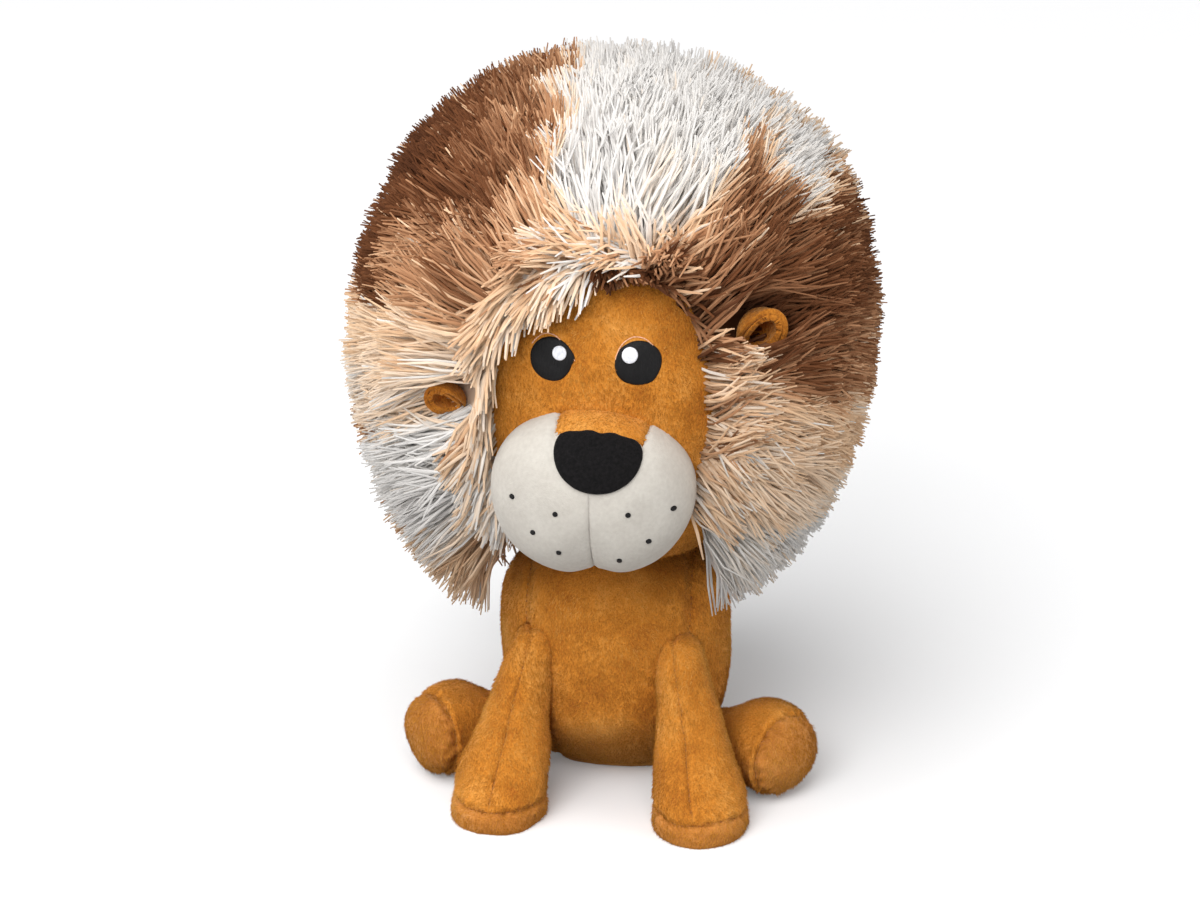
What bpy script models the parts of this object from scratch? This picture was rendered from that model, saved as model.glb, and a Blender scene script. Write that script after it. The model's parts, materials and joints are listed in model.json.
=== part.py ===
"""A sitting plush lion, in metres, +Z up. It faces -Y, and its left and right are named as the viewer in front sees them:
left is at -X. The origin is on the ground, in the middle of the flat base panel that it sits on."""
import math

import bmesh
import bpy
from mathutils import Matrix, Vector

# Fabric, seams and clearances
COVER_THICKNESS = 0.0020
PATCH_THICKNESS = 0.0014
PIECE_GAP = 0.0003
SEAM_GAP = 0.0004
CUT_OVERRUN = 0.0300
FLOOR_SINK = 0.0005

# Torso: widest at its middle, flat below, sloping to the neck above
TORSO_HALF_WIDTH = 0.0445
TORSO_HALF_DEPTH = 0.0395
TORSO_MIDDLE_HEIGHT = 0.0620
TORSO_SEAT_SINK = 0.0040
TORSO_SHOULDER_RISE = 0.0380
TORSO_SET_BACK = 0.0020
BASE_SEAM_HEIGHT = 0.0060
PELLET_BAG_HEIGHT = 0.0160
FRONT_SEAM_INSET = 0.0135
FRONT_SEAM_BOTTOM_INSET = 0.0225
FRONT_SEAM_BEND_HEIGHT = 0.0640
FRONT_SEAM_ARMPIT_INSET = 0.0190
FRONT_SEAM_ARMPIT_HEIGHT = 0.0560

# Neck: a ball that stands out of the torso's top, with the seam ring on it
NECK_RADIUS = 0.0240
NECK_SUNK = 0.0160
NECK_RING_THICKNESS = 0.0025
NECK_RING_INNER_RADIUS = 0.0120
NECK_RING_OUTER_RADIUS = 0.0195
HEAD_OVER_NECK = 0.0080
HEAD_TURN_ROOM = 0.0080

# Head ball
HEAD_HALF_WIDTH = 0.0720
HEAD_HALF_DEPTH = 0.0660
HEAD_DROP = 0.0780
HEAD_RISE = 0.0730
HEAD_SET_BACK = 0.0050

# Mane: the long pile stands this far off the head ball
PILE_SIDE = 0.0250
PILE_FRONT_AND_BACK = 0.0180
PILE_TOP = 0.0320
PILE_BELOW = 0.0250
MANE_SET_BACK = 0.0030
MANE_FRONT_DEPTH = 0.0060
CROWN_HALF_ANGLE_DEG = 42

# Face opening in the mane, an oval that widens towards the front
FACE_HALF_WIDTH = 0.0375
FACE_HALF_HEIGHT = 0.0500
FACE_DROP = 0.0080
FACE_OPENING_FLARE = 0.0150
CHIN_HALF_WIDTH = 0.0360

# Muzzle
MUZZLE_HALF_WIDTH = 0.0375
MUZZLE_HALF_DEPTH = 0.0260
MUZZLE_HALF_HEIGHT = 0.0320
MUZZLE_DROP = 0.0350
MUZZLE_FORWARD = 0.0675
BRIDGE_HALF_WIDTH = 0.0155
BRIDGE_LENGTH = 0.0130
NOSE_HALF_WIDTH = 0.0158
NOSE_HEIGHT = 0.0185
NOSE_TOP_DROP = 0.0050

# Eyes
EYE_HALF_WIDTH = 0.0079
EYE_HALF_HEIGHT = 0.0078
EYE_SPACING = 0.0308
EYE_RISE = 0.0145
HIGHLIGHT_RADIUS = 0.0026
HIGHLIGHT_SIDE = 0.0028
HIGHLIGHT_RISE = 0.0028

# Ears
EAR_HALF_WIDTH = 0.0105
EAR_HALF_THICKNESS = 0.0070
EAR_HALF_LENGTH = 0.0150
EAR_FABRIC = 0.0016
EAR_ROOT_RADIUS = 0.0050
EAR_LIFT = 0.0030
EAR_OPENING_SET_BACK = 0.0008
EAR_ROOM = 0.0055

# Front legs
SHOULDER_RADIUS = 0.0095
SHOULDER_INSET = 0.0120
SHOULDER_HEIGHT = 0.0580
SHOULDER_STAND_OFF = 0.0030
PAW_HALF_WIDTH = 0.0180
PAW_HALF_LENGTH = 0.0195
PAW_OUTWARD = 0.0060
PAW_FORWARD = 0.0490
SOLE_SEAM_HEIGHT = 0.0070

# Hind legs
HIP_RADIUS = 0.0120
HIP_HEIGHT = 0.0170
HIP_FORWARD = 0.0060
HIP_INSET = 0.0040
HIND_LEG_LENGTH = 0.0330
HIND_LEG_FORWARD_DEG = 24
HIND_LEG_SWING_BACK_DEG = 45
HIND_FOOT_RADIUS = 0.0185
HIND_SOLE_DEPTH = 0.0075

# Tail
TAIL_ROOT_RADIUS = 0.0075
TAIL_ROOT_HEIGHT = 0.0140
TAIL_RADIUS = 0.0055
TAIL_LENGTH = 0.0520
TAIL_BEND = 0.0100
TUFT_RADIUS = 0.0130
TUFT_LENGTH = 0.0400
TUFT_WRAP = 0.0080

# Form shares and counts
SEAT_POWER = 3.0
SHOULDER_POWER = 2.6
ROUND_POWER = 2.0
MANE_SKIRT_POWER = 3.4
SPHERE_COLUMNS = 20
SPHERE_ROWS = 12
BALL_COLUMNS = 12
BALL_ROWS = 8
LIMB_SIDES = 6
TAIL_SIDES = 6
OVAL_SIDES = 24
NECK_RING_STEPS = 24
NECK_RING_ARC_POINTS = 3
HALF_STEP_SHARE = 0.5
THIRD_STEP_SHARE = 0.3
SCREW_MERGE_SHARE = 0.1

# Places that follow from the sizes above
TORSO_SEAT_CURVE = TORSO_MIDDLE_HEIGHT + TORSO_SEAT_SINK
FRONT_SEAM_HALF_WIDTH = TORSO_HALF_WIDTH - FRONT_SEAM_INSET
FRONT_SEAM_BOTTOM_HALF_WIDTH = TORSO_HALF_WIDTH - FRONT_SEAM_BOTTOM_INSET
FRONT_SEAM_ARMPIT_HALF_WIDTH = TORSO_HALF_WIDTH - FRONT_SEAM_ARMPIT_INSET
SHOULDER_SPREAD = TORSO_HALF_WIDTH - SHOULDER_INSET
PAW_SPREAD = SHOULDER_SPREAD + PAW_OUTWARD
TORSO_CENTRE = Vector((0, TORSO_SET_BACK, TORSO_MIDDLE_HEIGHT))
TORSO_TOP = TORSO_MIDDLE_HEIGHT + TORSO_SHOULDER_RISE
NECK_PIVOT = Vector((0, TORSO_SET_BACK, TORSO_TOP - NECK_SUNK))
NECK_TOP = NECK_PIVOT.z + NECK_RADIUS
HEAD_CENTRE = Vector((0, HEAD_SET_BACK, NECK_TOP - HEAD_OVER_NECK + HEAD_DROP))
MANE_CENTRE = HEAD_CENTRE + Vector((0, MANE_SET_BACK, 0))
SPHERE_FACET_ROOM = 1 / math.cos(math.pi / SPHERE_COLUMNS)
BALL_FACET_ROOM = 1 / math.cos(math.pi / BALL_COLUMNS)
NECK_RING_INNER_FACE = (NECK_RADIUS + PIECE_GAP) * SPHERE_FACET_ROOM
NECK_RING_OUTER_FACE = NECK_RING_INNER_FACE + NECK_RING_THICKNESS
NECK_CUP_RADIUS = (NECK_RING_OUTER_FACE + PIECE_GAP) * SPHERE_FACET_ROOM
FACE_CENTRE = HEAD_CENTRE - Vector((0, 0, FACE_DROP))
MUZZLE_CENTRE = HEAD_CENTRE - Vector((0, MUZZLE_FORWARD, MUZZLE_DROP))
TORSO_HALF = Vector((TORSO_HALF_WIDTH, TORSO_HALF_DEPTH, 0))
HEAD_HALF = Vector((HEAD_HALF_WIDTH, HEAD_HALF_DEPTH, 0))
MANE_HALF = HEAD_HALF + Vector((PILE_SIDE, PILE_FRONT_AND_BACK, 0))
MUZZLE_HALF = Vector((MUZZLE_HALF_WIDTH, MUZZLE_HALF_DEPTH, 0))
SIDES = {"left": -1, "right": 1}


def clear_scene():
    for obj in list(bpy.data.objects):
        bpy.data.objects.remove(obj, do_unlink=True)


def make_collection(name):
    collection = bpy.data.collections.new(name)
    bpy.context.scene.collection.children.link(collection)
    return collection


def make_material(name, colour, roughness):
    material = bpy.data.materials.new(name)
    material.use_nodes = True
    shader = material.node_tree.nodes["Principled BSDF"]
    shader.inputs["Base Color"].default_value = (*colour, 1)
    shader.inputs["Roughness"].default_value = roughness
    shader.inputs["Metallic"].default_value = 0
    return material


clear_scene()
PARTS = make_collection("plush_lion")
CUTTERS = make_collection("cutters")
TAN_PLUSH = ((0.50, 0.19, 0.03), 0.90)
CREAM_FABRIC = ((0.75, 0.68, 0.58), 0.85)
BLACK_FELT = ((0.012, 0.010, 0.010), 0.80)
WHITE_THREAD = ((0.85, 0.85, 0.85), 0.60)
BROWN_FUR = ((0.30, 0.14, 0.07), 0.75)
BEIGE_FUR = ((0.60, 0.40, 0.26), 0.75)
WHITE_FUR = ((0.82, 0.80, 0.76), 0.75)
FIBRE_FILL = ((0.85, 0.85, 0.83), 0.95)
BAG_CLOTH = ((0.70, 0.70, 0.72), 0.90)


def add_object(name, mesh, collection):
    obj = bpy.data.objects.new(name, mesh)
    collection.objects.link(obj)
    return obj


def from_bmesh(name, bm):
    """A cutter made of a finished bmesh, with its faces turned outwards."""
    bmesh.ops.recalc_face_normals(bm, faces=bm.faces)
    mesh = bpy.data.meshes.new(name)
    bm.to_mesh(mesh)
    bm.free()
    mesh.shade_smooth()
    obj = add_object(name, mesh, CUTTERS)
    obj.hide_render = True
    obj.display_type = "WIRE"
    return obj


def piece(name, form, finish):
    """A named piece of the toy that starts as a copy of a form."""
    obj = add_object(name, form.data.copy(), PARTS)
    obj.matrix_world = form.matrix_world
    for modifier in form.modifiers:
        copy = obj.modifiers.new(modifier.name, modifier.type)
        if modifier.type == "BOOLEAN":
            copy.operation = modifier.operation
            copy.solver = modifier.solver
            copy.object = modifier.object
        if modifier.type == "SUBSURF":
            copy.levels = modifier.levels
            copy.render_levels = modifier.render_levels
    obj.data.materials.append(make_material(name, *finish))
    return obj


def on_joint(name, place, pieces):
    """An empty on the joint that these pieces turn about, with the pieces left where they are."""
    pivot = add_object(name, None, PARTS)
    pivot.location = place
    for obj in pieces:
        obj.parent = pivot
        obj.matrix_parent_inverse = Matrix.Translation(place).inverted()
    return pivot


def combine(obj, operation, others):
    for other in others:
        modifier = obj.modifiers.new(operation.lower() + "_" + other.name, "BOOLEAN")
        modifier.operation = operation
        modifier.solver = "EXACT"
        modifier.object = other
    return obj


def cut(obj, *others):
    return combine(obj, "DIFFERENCE", others)


def keep(obj, *others):
    return combine(obj, "INTERSECT", others)


def join(obj, *others):
    return combine(obj, "UNION", others)


def unit_sphere(columns, rows, step_share=0):
    """A sphere of radius 1 whose columns start a share of one step round."""
    bm = bmesh.new()
    turn = Matrix.Rotation(math.tau * step_share / columns, 4, "Z")
    bmesh.ops.create_uvsphere(bm, u_segments=columns, v_segments=rows, radius=1, matrix=turn)
    return bm


def swollen(name, centre, half, drop, rise, powers, grow=0, step_share=0, columns=SPHERE_COLUMNS, rows=SPHERE_ROWS):
    """A stuffed form: round in plan, with its own height and fullness below and above its middle."""
    bm = unit_sphere(columns, rows, step_share)
    for vert in bm.verts:
        height = vert.co.z
        power = powers[0] if height < 0 else powers[1]
        reach = drop if height < 0 else rise
        level = abs(height) ** (2 / power)
        spread = max(0, 1 - level ** power) ** (1 / power)
        flat = Vector((vert.co.x, vert.co.y, 0))
        if flat.length > 0:
            flat.normalize()
        vert.co.x = flat.x * spread * (half.x + grow)
        vert.co.y = flat.y * spread * (half.y + grow)
        vert.co.z = math.copysign(level, height) * (reach + grow)
    bmesh.ops.remove_doubles(bm, verts=bm.verts, dist=PIECE_GAP * PIECE_GAP)
    bmesh.ops.translate(bm, verts=bm.verts, vec=centre)
    return from_bmesh(name, bm)


def ball(name, centre, radius, columns=BALL_COLUMNS, rows=BALL_ROWS, step_share=0):
    bm = unit_sphere(columns, rows, step_share)
    bmesh.ops.transform(bm, verts=bm.verts, matrix=Matrix.Translation(centre) @ Matrix.Scale(radius, 4))
    return from_bmesh(name, bm)


def neck_ball(name, radius):
    return ball(name, NECK_PIVOT, radius, SPHERE_COLUMNS, SPHERE_ROWS, HALF_STEP_SHARE)


def hollow(name, centre, radius):
    """A ball-shaped hollow that a ball of this radius turns in, with room for the flats of both."""
    return ball(name, centre, (radius + PIECE_GAP) * BALL_FACET_ROOM, step_share=HALF_STEP_SHARE)


def block(name, low, high):
    bm = bmesh.new()
    bmesh.ops.create_cube(bm, size=1)
    bmesh.ops.scale(bm, verts=bm.verts, vec=Vector(high) - Vector(low))
    bmesh.ops.translate(bm, verts=bm.verts, vec=(Vector(low) + Vector(high)) / 2)
    return from_bmesh(name, bm)


def prism(name, outline, front, back):
    """An outline given as (x, z) points, carried from the front to the back along Y."""
    bm = bmesh.new()
    face = bm.faces.new([bm.verts.new((x, front, z)) for x, z in outline])
    grown = bmesh.ops.extrude_face_region(bm, geom=[face])
    moved = [item for item in grown["geom"] if isinstance(item, bmesh.types.BMVert)]
    bmesh.ops.translate(bm, verts=moved, vec=(0, back - front, 0))
    return from_bmesh(name, bm)


def oval_cone(name, centre, half_width, half_height, front, back, flare):
    """An oval hole along Y that widens by the flare from its back to its front. Its sides are twisted, so they are
    made triangles, which cut cleanly."""
    bm = bmesh.new()
    bmesh.ops.create_cone(
        bm, cap_ends=True, segments=OVAL_SIDES, radius1=1, radius2=1, depth=1,
        matrix=Matrix.Rotation(math.radians(90), 4, "X"),
    )
    for vert in bm.verts:
        at_front = vert.co.y < 0
        widened = flare if at_front else 0
        vert.co.x = centre.x + vert.co.x * (half_width + widened)
        vert.co.z = centre.z + vert.co.z * (half_height + widened)
        vert.co.y = front if at_front else back
    bmesh.ops.triangulate(bm, faces=bm.faces)
    return from_bmesh(name, bm)


def limb(name, stations, side, rise, root, root_radius, grow=0, sides=LIMB_SIDES, clear_of=()):
    """A stuffed limb: ovals of (centre, half width, half depth) joined into a smooth tube, with a round root.
    The tube is cut by what it must stay clear of before the root joins it, because the root turns in a hollow.
    Its twisted faces are made triangles first, which cut cleanly."""
    ring_swell = 1 / math.cos(math.pi / sides)
    along = (stations[-1][0] - stations[0][0]).normalized()
    bm = bmesh.new()
    rings = []
    last = len(stations) - 1
    for index, (centre, half_width, half_depth) in enumerate(stations):
        place = centre + along * (grow if index == last else 0)
        ring = []
        for step in range(sides):
            angle = math.tau * (step + HALF_STEP_SHARE) / sides
            out = side * math.cos(angle) * (half_width + grow) + rise * math.sin(angle) * (half_depth + grow)
            ring.append(bm.verts.new(place + out * ring_swell))
        rings.append(ring)
    for upper, lower in zip(rings, rings[1:]):
        for step in range(sides):
            following = (step + 1) % sides
            bm.faces.new((upper[step], upper[following], lower[following], lower[step]))
    bm.faces.new(rings[0])
    bm.faces.new(rings[-1])
    obj = from_bmesh(name, bm)
    smooth = obj.modifiers.new("smooth", "SUBSURF")
    smooth.levels = 1
    smooth.render_levels = 1
    obj.modifiers.new("flat_faces", "TRIANGULATE")
    cut(obj, *clear_of)
    return join(obj, ball(name + "_root", root, root_radius + grow, step_share=THIRD_STEP_SHARE))


def torso_front(across, height):
    """Y of the torso's front surface at a place given by its distance from the middle and its height."""
    level = (TORSO_MIDDLE_HEIGHT - height) / TORSO_SEAT_CURVE
    spread = (1 - level ** SEAT_POWER) ** (1 / SEAT_POWER)
    share = across / (TORSO_HALF_WIDTH * spread)
    return TORSO_SET_BACK - TORSO_HALF_DEPTH * spread * math.sqrt(1 - share * share)


def torso_form(name, grow=0):
    return swollen(
        name, TORSO_CENTRE, TORSO_HALF, TORSO_SEAT_CURVE, TORSO_SHOULDER_RISE, (SEAT_POWER, SHOULDER_POWER), grow
    )


def head_form(name, grow=0):
    return swollen(name, HEAD_CENTRE, HEAD_HALF, HEAD_DROP, HEAD_RISE, (SEAT_POWER, ROUND_POWER), grow)


def muzzle_form(name, grow=0):
    return swollen(
        name, MUZZLE_CENTRE, MUZZLE_HALF, MUZZLE_HALF_HEIGHT, MUZZLE_HALF_HEIGHT, (ROUND_POWER, ROUND_POWER), grow
    )


FAR = HEAD_CENTRE.z + HEAD_RISE + PILE_TOP + CUT_OVERRUN
FLOOR = block("floor", (-FAR, -FAR, -FAR), (FAR, FAR, 0))


def shoulder_place(sign):
    across = SHOULDER_SPREAD
    return Vector((sign * across, torso_front(across, SHOULDER_HEIGHT) - SHOULDER_STAND_OFF, SHOULDER_HEIGHT))


def hip_place(sign):
    level = (TORSO_MIDDLE_HEIGHT - HIP_HEIGHT) / TORSO_SEAT_CURVE
    spread = (1 - level ** SEAT_POWER) ** (1 / SEAT_POWER)
    return Vector((sign * (TORSO_HALF_WIDTH * spread - HIP_INSET), TORSO_SET_BACK - HIP_FORWARD, HIP_HEIGHT))


def tail_place():
    return Vector((0, 2 * TORSO_SET_BACK - torso_front(0, TAIL_ROOT_HEIGHT), TAIL_ROOT_HEIGHT))


def build_torso():
    """Three upright panels and a base panel round the filling, with hollows for the roots of the limbs."""
    cover = join(torso_form("torso_cover"), neck_ball("neck_outer", NECK_RADIUS))
    space = join(torso_form("torso_space", -COVER_THICKNESS), neck_ball("neck_inner", NECK_RADIUS - COVER_THICKNESS))
    floor_cover = block("floor_cover", (-FAR, -FAR, -FAR), (FAR, FAR, COVER_THICKNESS))
    floor_core = block("floor_core", (-FAR, -FAR, -FAR), (FAR, FAR, COVER_THICKNESS + PIECE_GAP))
    cut(space, floor_cover)
    neck_hole = block(
        "neck_hole",
        (-NECK_RING_INNER_RADIUS, TORSO_SET_BACK - NECK_RING_INNER_RADIUS, NECK_PIVOT.z),
        (NECK_RING_INNER_RADIUS, TORSO_SET_BACK + NECK_RING_INNER_RADIUS, FAR),
    )
    sockets = [hollow(f"shoulder_hollow_{side}", shoulder_place(sign), SHOULDER_RADIUS) for side, sign in SIDES.items()]
    sockets += [hollow(f"hip_hollow_{side}", hip_place(sign), HIP_RADIUS) for side, sign in SIDES.items()]
    sockets.append(hollow("tail_hollow", tail_place(), TAIL_ROOT_RADIUS))

    def front_outline(grow):
        right = [
            (FRONT_SEAM_BOTTOM_HALF_WIDTH + grow, -CUT_OVERRUN),
            (FRONT_SEAM_BOTTOM_HALF_WIDTH + grow, BASE_SEAM_HEIGHT),
            (FRONT_SEAM_ARMPIT_HALF_WIDTH + grow, FRONT_SEAM_ARMPIT_HEIGHT),
            (FRONT_SEAM_HALF_WIDTH + grow, FRONT_SEAM_BEND_HEIGHT),
            (FRONT_SEAM_HALF_WIDTH + grow, FAR),
        ]
        return right + [(-x, z) for x, z in reversed(right)]

    front_region = prism("front_region", front_outline(0), -FAR, TORSO_SET_BACK)
    front_gap_region = prism("front_gap_region", front_outline(SEAM_GAP), -FAR, TORSO_SET_BACK + SEAM_GAP)
    above_base = block("above_base", (-FAR, -FAR, BASE_SEAM_HEIGHT + SEAM_GAP), (FAR, FAR, FAR))
    base_region = block("base_region", (-FAR, -FAR, 0), (FAR, FAR, BASE_SEAM_HEIGHT))
    side_regions = {
        "left": block("left_region", (-FAR, -FAR, -FAR), (-SEAM_GAP / 2, FAR, FAR)),
        "right": block("right_region", (SEAM_GAP / 2, -FAR, -FAR), (FAR, FAR, FAR)),
    }

    front = piece("body_front_panel", cover, TAN_PLUSH)
    cut(front, space)
    keep(front, front_region, above_base)
    cut(front, neck_hole, *sockets)
    for side in SIDES:
        panel = piece(f"body_{side}_panel", cover, TAN_PLUSH)
        cut(panel, space)
        keep(panel, side_regions[side], above_base)
        cut(panel, front_gap_region, neck_hole, *sockets)
    base = piece("body_base_panel", cover, TAN_PLUSH)
    cut(base, space)
    keep(base, base_region)
    cut(base, *sockets)

    core_inset = COVER_THICKNESS + PIECE_GAP
    core = join(torso_form("torso_core", -core_inset), neck_ball("neck_core", NECK_RADIUS - core_inset))
    cut(core, floor_core)
    bag_top = COVER_THICKNESS + PELLET_BAG_HEIGHT
    over_bag = block("over_bag", (-FAR, -FAR, bag_top + PIECE_GAP), (FAR, FAR, FAR))
    under_bag_top = block("under_bag_top", (-FAR, -FAR, -FAR), (FAR, FAR, bag_top))
    stuffing = piece("body_stuffing", core, FIBRE_FILL)
    keep(stuffing, over_bag)
    cut(stuffing, *sockets)
    bag = piece("pellet_bag", core, BAG_CLOTH)
    keep(bag, under_bag_top)
    cut(bag, *sockets)


def build_neck():
    """The turned-in seam ring between the torso's neck and the head: a turned band of a ball's surface."""
    def arc(radius, edges):
        points = []
        for step in range(NECK_RING_ARC_POINTS):
            share = step / (NECK_RING_ARC_POINTS - 1)
            across = edges[0] + (edges[1] - edges[0]) * share
            points.append((across, math.sqrt(radius * radius - across * across)))
        return points

    outwards = (NECK_RING_INNER_RADIUS, NECK_RING_OUTER_RADIUS)
    profile = arc(NECK_RING_OUTER_FACE, outwards) + arc(NECK_RING_INNER_FACE, outwards[::-1])
    bm = bmesh.new()
    verts = [bm.verts.new((across, 0, height)) for across, height in profile]
    for index, vert in enumerate(verts):
        bm.edges.new((vert, verts[(index + 1) % len(verts)]))
    mesh = bpy.data.meshes.new("neck_seam_ring")
    bm.to_mesh(mesh)
    bm.free()
    ring = add_object("neck_seam_ring", mesh, PARTS)
    ring.location = NECK_PIVOT
    screw = ring.modifiers.new("turned", "SCREW")
    screw.steps = NECK_RING_STEPS
    screw.render_steps = NECK_RING_STEPS
    screw.use_merge_vertices = True
    screw.merge_threshold = PIECE_GAP * SCREW_MERGE_SHARE
    screw.use_smooth_shade = True
    mesh.materials.append(make_material("neck_seam_ring", *TAN_PLUSH))
    on_joint("neck_joint", NECK_PIVOT, [ring])


# Each ear: the way from the head's centre to its root, the way it points, and the way its open side faces.
EAR_WAY_SHARES = {
    "left": ((-0.76, -0.62, -0.10), (-0.24, -0.96, 0.05), (0.55, -0.10, -0.80)),
    "right": ((0.74, -0.56, 0.33), (0.38, -0.90, 0.20), (-0.55, -0.10, -0.80)),
}


def ear_frames():
    """For each ear: the way it points, the way its open side faces, and the place of its root on the head ball."""
    frames = {}
    for side, (to_root, point, opening) in EAR_WAY_SHARES.items():
        away = Vector(to_root)
        reach = HEAD_RISE if away.z > 0 else HEAD_DROP
        scaled = Vector((away.x / HEAD_HALF_WIDTH, away.y / HEAD_HALF_DEPTH, away.z / reach))
        along = Vector(point).normalized()
        facing = Vector(opening)
        facing = (facing - along * facing.dot(along)).normalized()
        frames[side] = (along, facing, HEAD_CENTRE + away / scaled.length)
    return frames


def ear_form(name, frame, grow=0):
    along, facing, root = frame
    bm = unit_sphere(BALL_COLUMNS, BALL_ROWS, HALF_STEP_SHARE)
    size = Vector((EAR_HALF_WIDTH + grow, EAR_HALF_THICKNESS + grow, EAR_HALF_LENGTH + grow))
    bmesh.ops.scale(bm, verts=bm.verts, vec=size)
    across = along.cross(facing)
    turn = Matrix((across, facing, along)).transposed().to_4x4()
    centre = root + along * EAR_HALF_LENGTH
    bmesh.ops.transform(bm, verts=bm.verts, matrix=Matrix.Translation(centre) @ turn)
    return from_bmesh(name, bm)


def half_space(name, point, normal):
    """A large block that lies on the side of a plane that its normal points to."""
    bm = bmesh.new()
    bmesh.ops.create_cube(bm, size=2 * FAR)
    turn = normal.to_track_quat("Z", "Y").to_matrix().to_4x4()
    bmesh.ops.transform(bm, verts=bm.verts, matrix=Matrix.Translation(point + normal * FAR) @ turn)
    return from_bmesh(name, bm)


def build_ears(head_pivot):
    """Each ear is a folded cup with a lining, on a round root that turns in a hollow of the head. It is cut to shape
    round the origin and then carried to its root, so that it comes out the same wherever the head's sizes put it."""
    root = Vector((0, 0, 0))
    for side, (along, facing, place) in ear_frames().items():
        made_before = set(bpy.data.objects)
        frame = (along, facing, root)
        middle = along * EAR_HALF_LENGTH - facing * EAR_OPENING_SET_BACK
        behind = half_space(f"ear_behind_{side}", middle, -facing)
        above = half_space(f"ear_above_{side}", along * EAR_LIFT, along)
        back = piece(f"ear_back_{side}", ear_form(f"ear_outer_{side}", frame), TAN_PLUSH)
        cut(back, ear_form(f"ear_middle_{side}", frame, -EAR_FABRIC))
        keep(back, behind, above)
        join(back, ball(f"ear_root_{side}", root, EAR_ROOT_RADIUS, step_share=THIRD_STEP_SHARE))
        lining_form = ear_form(f"ear_lining_form_{side}", frame, -EAR_FABRIC - PIECE_GAP)
        lining = piece(f"ear_lining_{side}", lining_form, TAN_PLUSH)
        cut(lining, ear_form(f"ear_inner_{side}", frame, -2 * EAR_FABRIC - PIECE_GAP))
        keep(lining, behind, above)
        cut(lining, hollow(f"ear_root_room_{side}", root, EAR_ROOT_RADIUS))
        for obj in set(bpy.data.objects) - made_before:
            obj.location = place
        pivot = on_joint(f"ear_{side}_joint", place, [back, lining])
        pivot.parent = head_pivot
        pivot.matrix_parent_inverse = Matrix.Translation(NECK_PIVOT).inverted()


def build_head():
    """The filled ball, the face panel in the opening of the mane, and the five panels of the mane round it."""
    cup = neck_ball("neck_cup", NECK_CUP_RADIUS)
    ears = ear_frames()
    ear_hollows = [hollow(f"ear_hollow_{side}", frame[2], EAR_ROOT_RADIUS) for side, frame in ears.items()]
    ear_pockets = [ear_form(f"ear_pocket_{side}", frame, EAR_ROOM) for side, frame in ears.items()]
    stuffing = piece("head_stuffing", head_form("head_core"), FIBRE_FILL)
    cut(stuffing, cup, *ear_hollows)

    front_y = MANE_CENTRE.y - MANE_HALF.y - CUT_OVERRUN
    opening = oval_cone(
        "face_opening", FACE_CENTRE, FACE_HALF_WIDTH + SEAM_GAP, FACE_HALF_HEIGHT + SEAM_GAP,
        front_y, HEAD_CENTRE.y, FACE_OPENING_FLARE,
    )
    face_region = oval_cone(
        "face_region", FACE_CENTRE, FACE_HALF_WIDTH, FACE_HALF_HEIGHT, front_y, HEAD_CENTRE.y, FACE_OPENING_FLARE
    )
    face_outer = head_form("face_outer", PIECE_GAP + COVER_THICKNESS)
    face_inner = head_form("face_inner", PIECE_GAP)
    face = piece("face_panel", face_outer, TAN_PLUSH)
    cut(face, face_inner)
    keep(face, face_region)

    mane = swollen(
        "mane_form", MANE_CENTRE, MANE_HALF, HEAD_DROP + PILE_BELOW, HEAD_RISE + PILE_TOP,
        (MANE_SKIRT_POWER, ROUND_POWER), 0, HALF_STEP_SHARE,
    )
    room_half = Vector((TORSO_HALF_WIDTH, TORSO_HALF_WIDTH, 0))
    room = swollen(
        "torso_room", TORSO_CENTRE, room_half, TORSO_SEAT_CURVE, TORSO_SHOULDER_RISE,
        (SEAT_POWER, SHOULDER_POWER), HEAD_TURN_ROOM, THIRD_STEP_SHARE,
    )
    chin = block(
        "chin_slot", (-CHIN_HALF_WIDTH, front_y, -FAR), (CHIN_HALF_WIDTH, HEAD_CENTRE.y - HEAD_HALF.y / 2, FACE_CENTRE.z)
    )
    cut(mane, face_inner, opening, chin, room, *ear_pockets)

    crown_angle = math.radians(CROWN_HALF_ANGLE_DEG)

    def crown_outline(grow):
        low = HEAD_CENTRE.z - grow / math.sin(crown_angle)
        reach = FAR * math.tan(crown_angle)
        return [(0, low), (reach, low + FAR), (-reach, low + FAR)]

    split_y = MANE_CENTRE.y + MANE_FRONT_DEPTH
    crown_region = prism("crown_region", crown_outline(0), -FAR, split_y)
    crown_gap = prism("crown_gap", crown_outline(SEAM_GAP), -FAR, FAR)
    front_half = block("mane_front_half", (-FAR, -FAR, -FAR), (FAR, split_y, FAR))
    back_half = block("mane_back_half", (-FAR, split_y + SEAM_GAP, -FAR), (FAR, FAR, FAR))
    halves = {
        "left": block("mane_left_half", (-FAR, -FAR, -FAR), (-SEAM_GAP / 2, FAR, FAR)),
        "right": block("mane_right_half", (SEAM_GAP / 2, -FAR, -FAR), (FAR, FAR, FAR)),
    }
    pieces = [stuffing, face, keep(piece("mane_crown", mane, WHITE_FUR), crown_region)]
    for side, finish in (("left", BEIGE_FUR), ("right", BROWN_FUR)):
        panel = keep(piece(f"mane_{side}_side", mane, finish), front_half, halves[side])
        pieces.append(cut(panel, crown_gap))
        pieces.append(keep(piece(f"mane_back_{side}", mane, finish), back_half, halves[side]))
    return pieces


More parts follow.
